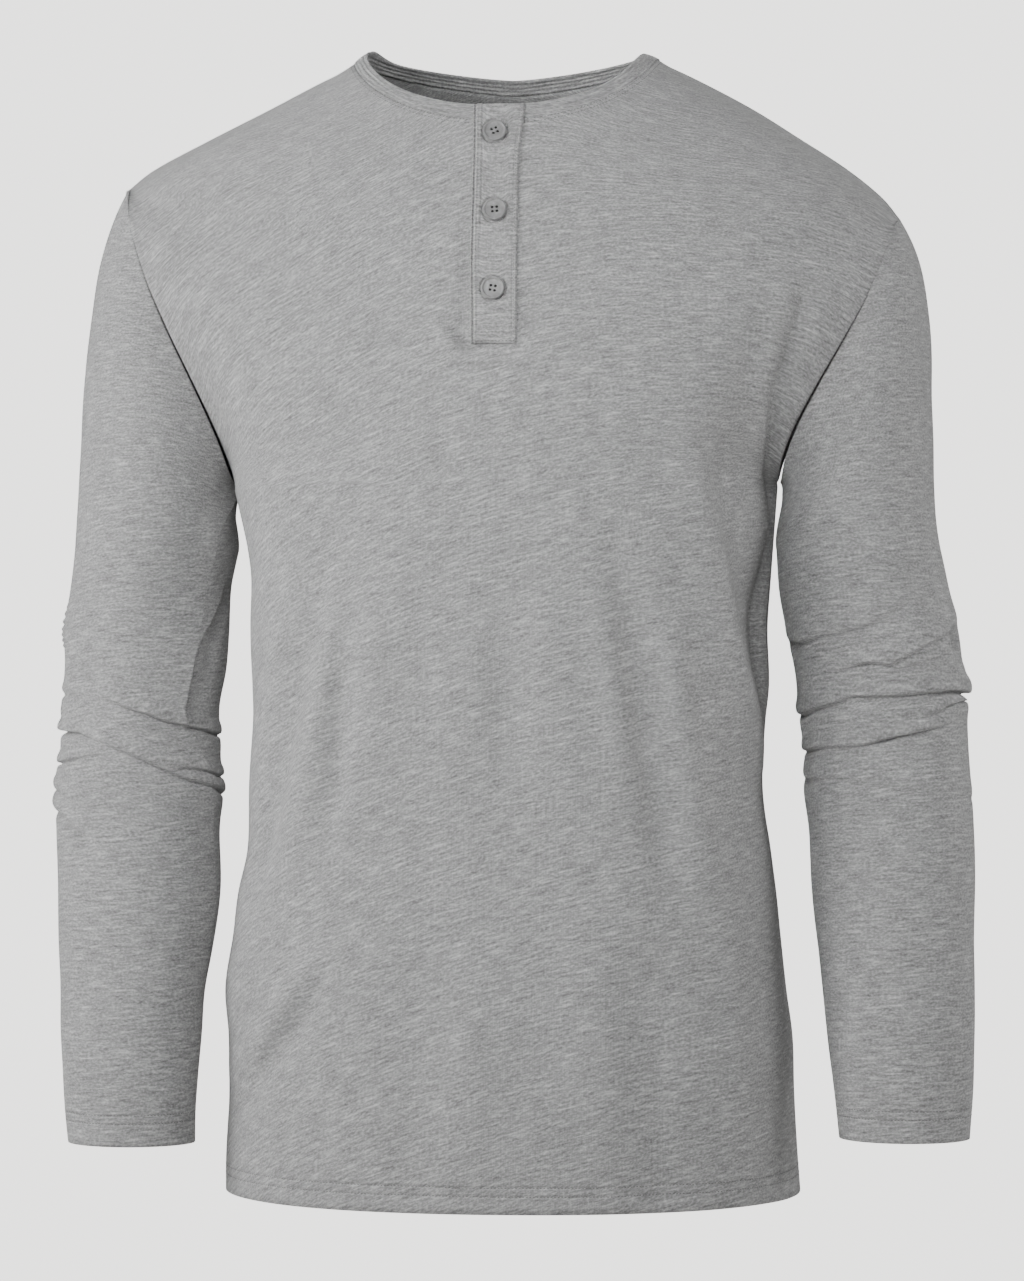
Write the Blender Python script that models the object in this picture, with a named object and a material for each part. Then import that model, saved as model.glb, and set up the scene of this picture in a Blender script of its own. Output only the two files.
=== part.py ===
"""Long-sleeved henley shirt in its worn shape, with nobody in it.

Metres, +Z up. The front faces -Y, the wearer's left is +X. The origin lies midway between the
two high shoulder points, where the shoulder seams meet the neckband.
"""

import bisect
import math

import bmesh
import bpy
from mathutils import Matrix, Vector

MM = 0.001
SEAM_GAP = 0.3 * MM
SLEEVE_SET_BACK = 1.3 * MM
CLOTH = 1.2 * MM
BAND_CLOTH = 1.6 * MM
LEAF_CLOTH = 1.4 * MM

# Finishes of the solids.
JERSEY = (0.36, 0.36, 0.365)
BUTTON_GREY = (0.30, 0.30, 0.305)

# Levels.
HEM_Z = -0.703
UNDERARM_Z = -0.264
FRONT_NECK_Z = -0.0456
BACK_NECK_Z = -0.0125
CUFF_Z = {"right": -0.6707, "left": -0.6642}
ARM_TOP_Z = -0.3051

# Neck seam: how softly the front scoop levels out at the shoulders, and how open the back is.
NECK_SOFTNESS = 0.16
BACK_NECK_POWER = 1.4

# The sides, by the wearer: the right one is at -X.
SIGN = {"right": -1, "left": 1}

# Shoulder seam from the high shoulder point to the tip: height, distance from the middle.
SHOULDER = {
    "right": ((0.0, 0.0940), (-0.0096, 0.1150), (-0.0277, 0.1506), (-0.0465, 0.1885),
              (-0.0653, 0.2240), (-0.0774, 0.2396)),
    "left": ((0.0, 0.0955), (-0.0113, 0.1190), (-0.0300, 0.1537), (-0.0488, 0.1833),
             (-0.0676, 0.2119), (-0.0863, 0.2346), (-0.1001, 0.2458)),
}

# Side seam: height, distance from the middle on the right and on the left.
SIDE_SEAM = (
    (-0.264, 0.1690, 0.1690),
    (-0.318, 0.1587, 0.1650),
    (-0.350, 0.1587, 0.1625),
    (-0.390, 0.1578, 0.1635),
    (-0.412, 0.1575, 0.1612),
    (-0.452, 0.1600, 0.1595),
    (-0.492, 0.1618, 0.1643),
    (-0.518, 0.1673, 0.1680),
    (-0.543, 0.1703, 0.1705),
    (-0.578, 0.1753, 0.1742),
    (-0.608, 0.1735, 0.1780),
    (-0.643, 0.1729, 0.1792),
    (-0.680, 0.1750, 0.1812),
    (-0.703, 0.1752, 0.1829),
)

# Middle of the body: height, how far the front and the back reach.
BODY_DEPTH = (
    (0.000, -0.060, 0.060),
    (-0.020, -0.068, 0.074),
    (-0.0456, -0.078, 0.087),
    (-0.080, -0.091, 0.098),
    (-0.120, -0.104, 0.107),
    (-0.170, -0.116, 0.113),
    (-0.220, -0.1235, 0.1145),
    (-0.270, -0.1265, 0.1125),
    (-0.340, -0.1245, 0.106),
    (-0.420, -0.119, 0.101),
    (-0.500, -0.118, 0.1035),
    (-0.580, -0.122, 0.110),
    (-0.650, -0.127, 0.116),
    (-0.703, -0.129, 0.118),
)

# How square the body's level sections are: height, power of the section (2 is an ellipse).
BODY_POWER = ((0.000, 2.0), (-0.100, 2.0), (-0.180, 2.2), (-0.270, 2.6), (-0.420, 2.7),
              (-0.560, 2.5), (-0.703, 2.2))

# Armhole seam, tip to underarm: way along it, share of the inward run.
ARMHOLE_INWARD = ((0.0, 0.0), (0.2, 0.085), (0.3, 0.18), (0.4, 0.31), (0.5, 0.49),
                  (0.6, 0.68), (0.7, 0.84), (0.8, 0.94), (1.0, 1.0))
ARMHOLE_DEPTH = {"front": -0.062, "back": 0.057}
ARMHOLE_FLATTENING = math.radians(34)

# Sleeves below the underarm: height, inner side, outer side.
SLEEVE_SIDES = {
    "right": (
        (-0.3051, 0.1705, 0.2728), (-0.3301, 0.1758, 0.2759), (-0.3551, 0.1770, 0.2800),
        (-0.3801, 0.1787, 0.2797), (-0.4051, 0.1825, 0.2816), (-0.4301, 0.1812, 0.2820),
        (-0.4551, 0.1790, 0.2850), (-0.4801, 0.1800, 0.2824), (-0.5176, 0.1784, 0.2800),
        (-0.5551, 0.1825, 0.2773), (-0.5801, 0.1859, 0.2754), (-0.6051, 0.1869, 0.2748),
        (-0.6301, 0.1883, 0.2726), (-0.6551, 0.1898, 0.2700), (-0.6707, 0.1898, 0.2682),
    ),
    "left": (
        (-0.3051, 0.1686, 0.2698), (-0.3301, 0.1702, 0.2750), (-0.3551, 0.1749, 0.2826),
        (-0.3801, 0.1797, 0.2856), (-0.4051, 0.1823, 0.2864), (-0.4301, 0.1856, 0.2869),
        (-0.4551, 0.1854, 0.2887), (-0.4801, 0.1885, 0.2900), (-0.5176, 0.1904, 0.2900),
        (-0.5551, 0.1942, 0.2896), (-0.5801, 0.1973, 0.2893), (-0.6051, 0.1997, 0.2893),
        (-0.6301, 0.2029, 0.2886), (-0.6551, 0.2060, 0.2870), (-0.6670, 0.2072, 0.2862),
    ),
}

# How the sleeve cap leaves the armhole: outwards and down, least at the underarm, and the
# share of the armhole's own depth that it adds over the front and the back.
CAP_OUT_UNDERARM = 0.022
CAP_OUT_TIP = 0.090
CAP_DOWN_UNDERARM = 0.030
CAP_DOWN_TIP = 0.150
CAP_DEPTH_SHARE = 0.25

# How far the arm swings out for each metre down, where the cap ends.
ARM_TILT = {"right": 0.08, "left": 0.17}

# Sleeve depth: height, middle of the section, half its depth.
SLEEVE_DEPTH = (
    (-0.3051, 0.004, 0.0640),
    (-0.350, 0.006, 0.0585),
    (-0.420, 0.002, 0.0525),
    (-0.500, -0.014, 0.0460),
    (-0.580, -0.032, 0.0400),
    (-0.667, -0.049, 0.0330),
)

# Fold ends: a body fold fades over this share of its length, and is this far into the fade at
# its very end; a sleeve fold's fade over its half spread is this much steeper than even.
FOLD_RAMP = 0.3
FOLD_EARLY = 0.4
SLEEVE_FOLD_FADE = 1.6

# Sleeve folds: angle round the arm from the outer side over the front, height there, fall of
# the fold per radian, half its spread round the arm, half its width, depth.
SLEEVE_FOLDS = {
    "right": (
        (90, -0.405, -0.022, 105, 0.0075, 0.0055),
        (95, -0.4326, -0.009, 110, 0.0065, 0.0050),
        (150, -0.452, -0.012, 55, 0.0060, 0.0040),
        (30, -0.459, -0.012, 55, 0.0060, 0.0035),
        (25, -0.476, -0.015, 45, 0.0060, 0.0025),
        (125, -0.368, 0.014, 60, 0.0100, 0.0030),
        (235, -0.425, 0.012, 60, 0.0090, 0.0030),
        (280, -0.385, -0.010, 50, 0.0100, 0.0025),
    ),
    "left": (
        (95, -0.397, -0.0045, 105, 0.0070, 0.0060),
        (90, -0.4205, -0.011, 105, 0.0065, 0.0050),
        (90, -0.4535, 0.0035, 80, 0.0070, 0.0020),
        (115, -0.354, -0.012, 60, 0.0090, 0.0025),
        (95, -0.3765, -0.010, 75, 0.0080, 0.0030),
        (15, -0.366, -0.020, 30, 0.0070, 0.0030),
        (230, -0.432, 0.010, 60, 0.0090, 0.0030),
        (285, -0.390, -0.012, 50, 0.0100, 0.0025),
    ),
}

# Body folds: start and end as distance from the middle and height, half their width, depth.
FRONT_FOLDS = (
    (-0.102, -0.313, -0.146, -0.491, 0.014, 0.0042),
    (-0.086, -0.330, -0.100, -0.490, 0.013, 0.0022),
    (-0.107, -0.574, -0.152, -0.639, 0.013, 0.0036),
    (0.076, -0.315, 0.103, -0.500, 0.014, 0.0030),
    (0.124, -0.270, 0.157, -0.410, 0.013, -0.0028),
    (0.138, -0.275, 0.162, -0.410, 0.013, 0.0050),
    (0.149, -0.489, 0.176, -0.690, 0.014, 0.0040),
    (0.166, -0.165, 0.150, -0.285, 0.018, 0.0042),
    (-0.112, -0.190, -0.120, -0.285, 0.026, -0.0025),
    (0.056, -0.550, 0.074, -0.690, 0.014, -0.0014),
)
BACK_FOLDS = (
    (-0.115, -0.300, -0.075, -0.470, 0.016, 0.0035),
    (0.120, -0.290, 0.085, -0.455, 0.017, 0.0038),
    (-0.060, -0.420, 0.050, -0.455, 0.014, 0.0030),
    (0.062, -0.470, -0.045, -0.500, 0.014, 0.0025),
    (-0.150, -0.190, -0.100, -0.270, 0.014, 0.0028),
    (0.152, -0.200, 0.108, -0.285, 0.014, 0.0030),
    (-0.110, -0.560, -0.140, -0.670, 0.014, 0.0025),
    (0.100, -0.550, 0.132, -0.665, 0.014, 0.0025),
)

# Neckband.
BAND_START = 0.9 * MM
BAND_HEIGHT_MIDDLE = 9.4 * MM
BAND_HEIGHT_SIDE = 6.3 * MM
BAND_LEAN_MIDDLE = 4.4 * MM
BAND_LEAN_SIDE = 7.9 * MM
BAND_BULGE = 0.4 * MM
BAND_END_GAP = 1.0 * MM

# Placket and its buttons.
PLACKET_WIDTH = 28 * MM
PLACKET_FOOT_Z = -0.1843
SLOT_WIDTH = 22 * MM
SLOT_FOOT_Z = -0.172
UNDER_LEAF_WIDTH = 27 * MM
UNDER_LEAF_FOOT_Z = -0.180
UPPER_LEAF_OUT = SEAM_GAP + LEAF_CLOTH
UNDER_LEAF_GAP = 0.42 * MM
UNDER_LEAF_OUT = -CLOTH - UNDER_LEAF_GAP
BUTTON_HEIGHTS = (-0.0523, -0.1022, -0.1513)
BUTTON_PROFILE_MM = ((0.0, 0.0), (5.4, 0.0), (6.7, 0.5), (7.0, 1.3), (6.8, 2.3), (6.1, 2.7),
                     (5.3, 2.5), (4.4, 1.9), (0.0, 1.8))
BUTTON_TURN_DEGREES = (38, 8, 24)
HOLE_RADIUS = 0.75 * MM
HOLE_SPACING = 2.3 * MM
HOLE_CUTTER_LENGTH = 10 * MM

# How finely the pieces are divided.
LOW_ROWS = 14
ARMHOLE_ROWS = 10
SHOULDER_ROWS = 6
FAN_ROWS = 3
SMOOTHING_PASSES = 4
SMOOTH_FROM_X = 0.03
FRONT_COLUMNS = 20
BACK_COLUMNS = 16
CAP_RINGS = 8
ELBOW_TOP_Z = -0.345
ELBOW_FOOT_Z = -0.485
ELBOW_RINGS = 21
UPPER_RINGS = 2
FOREARM_RINGS = 6
BAND_STEPS = 40
BAND_ROWS = 2
LEAF_COLUMNS = 4
LEAF_ROWS = 13
BUTTON_STEPS = 20
HOLE_STEPS = 8

# Distances for reading the slope of the cloth, and for joining corners that lie on each other.
SLOPE_STEP = 5 * MM
SAME_PLACE = 1e-6


def clear_scene():
    for item in list(bpy.data.objects):
        bpy.data.objects.remove(item, do_unlink=True)


def smooth_curve(rows, column=1):
    """A smooth curve through one column of a table, as a function of its first column."""
    points = sorted((row[0], row[column]) for row in rows)
    keys = [point[0] for point in points]
    values = [point[1] for point in points]
    last = len(points) - 1
    chords = [(values[i + 1] - values[i]) / (keys[i + 1] - keys[i]) for i in range(last)]
    slopes = [chords[0]] + [(a + b) / 2 for a, b in zip(chords, chords[1:])] + [chords[-1]]

    def value(key):
        i = min(max(bisect.bisect_right(keys, key) - 1, 0), last - 1)
        step = keys[i + 1] - keys[i]
        t = min(max((key - keys[i]) / step, 0.0), 1.0)
        start = (1 + 2 * t) * (1 - t) ** 2 * values[i] + t * (1 - t) ** 2 * step * slopes[i]
        end = t * t * (3 - 2 * t) * values[i + 1] + t * t * (t - 1) * step * slopes[i + 1]
        return start + end

    return value


def smoothstep(t):
    t = min(max(t, 0.0), 1.0)
    return t * t * (3 - 2 * t)


SHOULDER_CURVE = {side: smooth_curve(rows) for side, rows in SHOULDER.items()}
SIDE_CURVE = {"right": smooth_curve(SIDE_SEAM, 1), "left": smooth_curve(SIDE_SEAM, 2)}
DEPTH_CURVE = {"front": smooth_curve(BODY_DEPTH, 1), "back": smooth_curve(BODY_DEPTH, 2)}
POWER_CURVE = smooth_curve(BODY_POWER)
INWARD_CURVE = smooth_curve(ARMHOLE_INWARD)
SLEEVE_INNER = {side: smooth_curve(rows, 1) for side, rows in SLEEVE_SIDES.items()}
SLEEVE_OUTER = {side: smooth_curve(rows, 2) for side, rows in SLEEVE_SIDES.items()}
SLEEVE_MIDDLE = smooth_curve(SLEEVE_DEPTH, 1)
SLEEVE_HALF = smooth_curve(SLEEVE_DEPTH, 2)
NECK_Z = {"front": FRONT_NECK_Z, "back": BACK_NECK_Z}
TIP_Z = {side: rows[-1][0] for side, rows in SHOULDER.items()}
TIP_X = {side: rows[-1][1] for side, rows in SHOULDER.items()}
NECK_X = {side: rows[0][1] for side, rows in SHOULDER.items()}


def armhole_height(side, way):
    return TIP_Z[side] + (UNDERARM_Z - TIP_Z[side]) * (1 - math.cos(math.pi * way)) / 2


def section_end(side, z):
    """Half width of the body at a height, and how far round the armhole that is."""
    if z >= TIP_Z[side]:
        return SHOULDER_CURVE[side](z), 0.0
    if z <= UNDERARM_Z:
        return SIDE_CURVE[side](z), 0.0
    drop = (TIP_Z[side] - z) / (TIP_Z[side] - UNDERARM_Z)
    way = math.acos(1 - 2 * drop) / math.pi
    half = TIP_X[side] + (SIDE_SEAM[0][1] - TIP_X[side]) * INWARD_CURVE(way)
    return half, way


def rounded_square(turn, power):
    """A point of a rounded square of radius 1, at a turn from the front: sideways and forward."""
    sideways = abs(math.sin(turn))
    forward = abs(math.cos(turn))
    size = (sideways ** power + forward ** power) ** (-1 / power)
    return size * sideways, size * forward


def body_point(panel, side, w, z, way=None):
    """A point of a body section: w runs from 0 in the middle to 1 at the seam."""
    half, way_here = section_end(side, z)
    hollow = math.sin(math.pi * (way_here if way is None else way))
    end_y = ARMHOLE_DEPTH[panel] * hollow
    angle = math.pi / 2 - ARMHOLE_FLATTENING * hollow
    sideways, forward = rounded_square(angle * w, POWER_CURVE(z))
    end_sideways, end_forward = rounded_square(angle, POWER_CURVE(z))
    share = (forward - end_forward) / (1 - end_forward)
    x = SIGN[side] * half * sideways / end_sideways
    return Vector((x, end_y + (DEPTH_CURVE[panel](z) - end_y) * share, z))


def way_to_x(side, x, z):
    """The w at which a section of the body is x away from the middle."""
    half, way = section_end(side, z)
    angle = math.pi / 2 - ARMHOLE_FLATTENING * math.sin(math.pi * way)
    power = POWER_CURVE(z)
    sideways = min(x * rounded_square(angle, power)[0] / half, 1.0)
    forward = (1 - sideways ** power) ** (1 / power)
    return math.atan2(sideways, forward) / angle


def neck_level(panel, turn):
    """How deep the neck seam lies, as a share of its depth in the middle of the panel. In front
    it is a round scoop that levels out at the shoulder, behind a shallow open curve."""
    if panel == "back":
        return 1 - math.sin(turn) ** BACK_NECK_POWER
    deepest = math.hypot(1.0, NECK_SOFTNESS) - NECK_SOFTNESS
    return (math.hypot(math.cos(turn), NECK_SOFTNESS) - NECK_SOFTNESS) / deepest


def neck_seam(panel, side, turn):
    """A point of the neck seam: turn runs from 0 in the middle to a right angle at the shoulder."""
    z = NECK_Z[panel] * neck_level(panel, turn)
    return body_point(panel, side, way_to_x(side, NECK_X[side] * math.sin(turn), z), z)


def row_heights(panel, side, row):
    """Heights of a row of a body panel in the middle and at the seam."""
    upper = ARMHOLE_ROWS + SHOULDER_ROWS
    if row <= LOW_ROWS:
        z = HEM_Z + (UNDERARM_Z - HEM_Z) * row / LOW_ROWS
        return z, z
    middle = UNDERARM_Z + (NECK_Z[panel] - UNDERARM_Z) * (row - LOW_ROWS) / upper
    if row <= LOW_ROWS + ARMHOLE_ROWS:
        return middle, armhole_height(side, 1 - (row - LOW_ROWS) / ARMHOLE_ROWS)
    return middle, TIP_Z[side] * (1 - (row - LOW_ROWS - ARMHOLE_ROWS) / SHOULDER_ROWS)


def panel_point(panel, side, column, columns, row):
    """A grid point of a body panel: column 0 is the middle, 1 the slot's edge, the last a seam."""
    rows = LOW_ROWS + ARMHOLE_ROWS + SHOULDER_ROWS
    middle_z, seam_z = row_heights(panel, side, row)
    if column == 0:
        return body_point(panel, side, 0.0, middle_z)
    share = (column - 1) / (columns - 1)
    first_x = SLOT_WIDTH / 2
    first_turn = math.asin(first_x / NECK_X[side])
    turn = first_turn + (math.pi / 2 - first_turn) * share
    fan_start = LOW_ROWS + ARMHOLE_ROWS - FAN_ROWS
    fan = smoothstep((row - fan_start) / (rows - fan_start))
    at_top = neck_level(panel, turn)
    level = math.cos(turn) + (at_top - math.cos(turn)) * fan
    z = middle_z + (seam_z - middle_z) * (1 - level)
    first = way_to_x(side, first_x, z)
    plain = first + (1 - first) * share
    at_neck = way_to_x(side, NECK_X[side] * math.sin(turn), NECK_Z[panel] * at_top)
    w = plain + (at_neck - plain) * fan
    way = min(max(1 - (row - LOW_ROWS) / ARMHOLE_ROWS, 0.0), 1.0)
    point = body_point(panel, side, min(w, 1.0), z, way)
    if column == columns:
        point.y += math.copysign(SEAM_GAP / 2, ARMHOLE_DEPTH[panel])
    return point


def new_grid(columns, rows, place):
    """A grid of faces whose corners a function places by column and row."""
    bm = bmesh.new()
    bmesh.ops.create_grid(bm, x_segments=columns, y_segments=rows, size=1.0)
    for vert in bm.verts:
        column = round((vert.co.x + 1) / 2 * columns)
        row = round((vert.co.y + 1) / 2 * rows)
        vert.co = place(column, row)
    bm.normal_update()
    return bm


def fold_depth(folds, x, z):
    """How far the body cloth sinks at a place: troughs along straight lines with soft ends."""
    depth = 0.0
    for start_x, start_z, end_x, end_z, half_width, deepest in folds:
        run = Vector((end_x - start_x, end_z - start_z))
        here = Vector((x - start_x, z - start_z))
        along = here.dot(run) / run.length_squared
        aside = abs(run.x * here.y - run.y * here.x) / run.length
        start = smoothstep(along / FOLD_RAMP + FOLD_EARLY)
        end = smoothstep((1 - along) / FOLD_RAMP + FOLD_EARLY)
        depth += deepest * math.exp(-(aside / half_width) ** 2) * start * end
    return depth


def smooth_shoulders(bm):
    """Softens the turn from the chest to the shoulders; the middle and the edges stay."""
    verts = [vert for vert in bm.verts if not vert.is_boundary
             and abs(vert.co.x) > SMOOTH_FROM_X and vert.co.z > UNDERARM_Z]
    for _ in range(SMOOTHING_PASSES):
        bmesh.ops.smooth_vert(bm, verts=verts, factor=0.5, use_axis_x=True, use_axis_y=True,
                              use_axis_z=True)
    bm.normal_update()


def press_folds(bm, depth_at):
    """Moves each corner inwards by the depth of the folds there; the edges stay."""
    moves = [(vert, vert.normal * depth_at(vert)) for vert in bm.verts if not vert.is_boundary]
    for vert, move in moves:
        vert.co -= move


def line_panel(bm, facing):
    """Gives a panel its wall, and keeps it on its own side of the seams between front and back."""
    bmesh.ops.solidify(bm, geom=bm.faces, thickness=CLOTH)
    for vert in bm.verts:
        vert.co.y = facing * max(facing * vert.co.y, SEAM_GAP / 2)


def material(name, colour, roughness):
    made = bpy.data.materials.new(name)
    made.use_nodes = True
    shader = made.node_tree.nodes["Principled BSDF"]
    shader.inputs["Base Color"].default_value = (*colour, 1.0)
    shader.inputs["Roughness"].default_value = roughness
    shader.inputs["Metallic"].default_value = 0.0
    return made


def finish_piece(bm, name, colour, roughness=0.92, wall=None):
    """Turns the faces into an object, with a wall of cloth inside them if one is given."""
    mesh = bpy.data.meshes.new(name)
    bm.to_mesh(mesh)
    bm.free()
    mesh.shade_smooth()
    mesh.materials.append(material(name, colour, roughness))
    piece = bpy.data.objects.new(name, mesh)
    bpy.context.scene.collection.objects.link(piece)
    if wall:
        solidify = piece.modifiers.new("wall", "SOLIDIFY")
        solidify.thickness = wall
        solidify.offset = -1.0
    return piece


def make_front():
    """The front panel, with the slot for the placket at the top of its middle."""
    half = FRONT_COLUMNS // 2
    rows = LOW_ROWS + ARMHOLE_ROWS + SHOULDER_ROWS

    def place(column, row):
        side = "right" if column < half else "left"
        return panel_point("front", side, abs(column - half), half, row)

    bm = new_grid(FRONT_COLUMNS, rows, place)
    slot = [face for face in bm.faces
            if abs(face.calc_center_median().x) < SLOT_WIDTH / 2
            and face.calc_center_median().z > SLOT_FOOT_Z]
    bmesh.ops.delete(bm, geom=slot, context="FACES")
    smooth_shoulders(bm)
    press_folds(bm, lambda vert: fold_depth(FRONT_FOLDS, vert.co.x, vert.co.z))
    line_panel(bm, -1)
    finish_piece(bm, "front", JERSEY)


def make_back():
    half = BACK_COLUMNS // 2
    rows = LOW_ROWS + ARMHOLE_ROWS + SHOULDER_ROWS

    def place(column, row):
        side = "left" if column < half else "right"
        return panel_point("back", side, abs(column - half), half, row)

    bm = new_grid(BACK_COLUMNS, rows, place)
    smooth_shoulders(bm)
    press_folds(bm, lambda vert: fold_depth(BACK_FOLDS, vert.co.x, vert.co.z))
    line_panel(bm, 1)
    finish_piece(bm, "back", JERSEY)


def sleeve_section(side, turn, z):
    """A point of a sleeve's level section: turn runs from the outer side over the front."""
    inner = SLEEVE_INNER[side](z)
    outer = SLEEVE_OUTER[side](z)
    x = (inner + outer) / 2 + (outer - inner) / 2 * math.cos(turn)
    y = SLEEVE_MIDDLE(z) - SLEEVE_HALF(z) * math.sin(turn)
    return Vector((SIGN[side] * x, y, z))


def cap_point(side, turn, share):
    """A point of the sleeve cap, from the armhole seam down to the first level section."""
    over_front = turn <= math.pi
    way = turn / math.pi if over_front else 2 - turn / math.pi
    panel = "front" if over_front else "back"
    start = body_point(panel, side, 1.0, armhole_height(side, way))
    outwards = CAP_OUT_TIP + (CAP_OUT_UNDERARM - CAP_OUT_TIP) * way
    down = CAP_DOWN_TIP + (CAP_DOWN_UNDERARM - CAP_DOWN_TIP) * way
    depth = CAP_DEPTH_SHARE * ARMHOLE_DEPTH[panel] * math.sin(math.pi * way)
    leave = Vector((SIGN[side] * outwards, depth, -down))
    start += leave.normalized() * SLEEVE_SET_BACK
    end = sleeve_section(side, turn, ARM_TOP_Z)
    drop = start.z - ARM_TOP_Z
    arrive = Vector((SIGN[side] * ARM_TILT[side] * drop, 0.0, -drop))
    t = share
    return ((1 + 2 * t) * (1 - t) ** 2 * start + t * (1 - t) ** 2 * leave
            + t * t * (3 - 2 * t) * end + t * t * (t - 1) * arrive)


def sleeve_levels(side):
    """Heights of a sleeve's level rings, from the cuff up, close together at the elbow."""
    runs = ((CUFF_Z[side], ELBOW_FOOT_Z, FOREARM_RINGS), (ELBOW_FOOT_Z, ELBOW_TOP_Z, ELBOW_RINGS),
            (ELBOW_TOP_Z, ARM_TOP_Z, UPPER_RINGS))
    levels = [low + (high - low) * k / count for low, high, count in runs for k in range(count)]
    return levels + [ARM_TOP_Z]


def sleeve_fold_depth(side, turn, z):
    depth = 0.0
    for angle, height, fall, spread, half_width, deepest in SLEEVE_FOLDS[side]:
        round_arm = (turn - math.radians(angle) + math.pi) % (2 * math.pi) - math.pi
        off = z - height - fall * round_arm
        fade = smoothstep(SLEEVE_FOLD_FADE * (1 - abs(round_arm) / math.radians(spread)))
        depth += deepest * math.exp(-(off / half_width) ** 2) * fade
    return depth


def make_sleeve(side):
    around = 2 * ARMHOLE_ROWS
    levels = sleeve_levels(side)
    rows = len(levels) - 1 + CAP_RINGS

    def turn_of(column):
        k = column if side == "right" else around - column
        return 2 * math.pi * (k % around) / around

    def place(column, row):
        turn = turn_of(column)
        if row >= len(levels):
            return cap_point(side, turn, (rows - row) / CAP_RINGS)
        point = sleeve_section(side, turn, levels[row])
        middle = Vector((SIGN[side] * (SLEEVE_INNER[side](point.z)
                                       + SLEEVE_OUTER[side](point.z)) / 2,
                         SLEEVE_MIDDLE(point.z), point.z))
        inwards = (middle - point).normalized()
        return point + inwards * sleeve_fold_depth(side, turn, point.z)

    bm = new_grid(around, rows, place)
    bmesh.ops.remove_doubles(bm, verts=bm.verts, dist=SAME_PLACE)
    finish_piece(bm, f"sleeve_{side}", JERSEY, wall=CLOTH)


def band_point(turn, share):
    """A point of the neckband; turn runs from the front over the wearer's left to the back."""
    side = "left" if turn <= math.pi else "right"
    from_front = turn if turn <= math.pi else 2 * math.pi - turn
    panel = "front" if from_front <= math.pi / 2 else "back"
    base = neck_seam(panel, side, from_front if panel == "front" else math.pi - from_front)
    sideways = math.sin(from_front) ** 2
    rise = BAND_HEIGHT_MIDDLE + (BAND_HEIGHT_SIDE - BAND_HEIGHT_MIDDLE) * sideways
    lean = BAND_LEAN_MIDDLE + (BAND_LEAN_SIDE - BAND_LEAN_MIDDLE) * sideways
    outwards = Vector((base.x, base.y, 0.0)).normalized()
    slope = Vector((0, 0, rise)) - outwards * lean
    face = (outwards * rise + Vector((0, 0, lean))).normalized()
    out = (BAND_CLOTH - CLOTH) / 2 + BAND_BULGE * math.sin(math.pi * share)
    start = slope.normalized() * BAND_START
    return base + start + (slope - start) * share + face * out


def make_neckband():
    gap_turn = math.asin((PLACKET_WIDTH / 2 + BAND_END_GAP) / NECK_X["left"])

    def place(column, row):
        turn = gap_turn + (2 * math.pi - 2 * gap_turn) * column / BAND_STEPS
        return band_point(turn, row / BAND_ROWS)

    bm = new_grid(BAND_STEPS, BAND_ROWS, place)
    finish_piece(bm, "neckband", JERSEY, wall=BAND_CLOTH)


def leaf_point(x, z, out):
    """A point of a placket leaf: the front panel's own point moved out, leaning with the band."""
    side = "left" if x >= 0 else "right"
    neck = neck_seam("front", side, 0.0)
    top = band_point(0.0, 1.0)
    low_z = min(z, neck.z)

    def on_panel(at_x, at_z):
        return body_point("front", side, way_to_x(side, abs(at_x), at_z), at_z)

    here = on_panel(x, low_z)
    upwards = here - on_panel(x, low_z - SLOPE_STEP)
    sideways = on_panel(x + math.copysign(SLOPE_STEP, x), low_z) - here
    normal = upwards.cross(sideways) * math.copysign(1, x)
    lean = (top - neck) * max((z - neck.z) / (top.z - neck.z), 0.0)
    return here + lean - normal.normalized() * out


def make_leaf(name, width, foot_z, out):
    top_z = band_point(0.0, 1.0).z

    def place(column, row):
        x = width * (column / LEAF_COLUMNS - 0.5)
        return leaf_point(x, foot_z + (top_z - foot_z) * row / LEAF_ROWS, out)

    bm = new_grid(LEAF_COLUMNS, LEAF_ROWS, place)
    finish_piece(bm, name, JERSEY, wall=LEAF_CLOTH)


def make_hole_cutter(name):
    """Four upright rods that cut the sewing holes of a button."""
    bm = bmesh.new()
    for x in (-0.5, 0.5):
        for y in (-0.5, 0.5):
            place = Matrix.Translation((x * HOLE_SPACING, y * HOLE_SPACING, 0.0))
            bmesh.ops.create_cone(bm, cap_ends=True, segments=HOLE_STEPS, radius1=HOLE_RADIUS,
                                  radius2=HOLE_RADIUS, depth=HOLE_CUTTER_LENGTH, matrix=place)
    cutter = finish_piece(bm, name, BUTTON_GREY)
    cutter.hide_render = True
    cutter.display_type = "WIRE"
    return cutter


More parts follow.
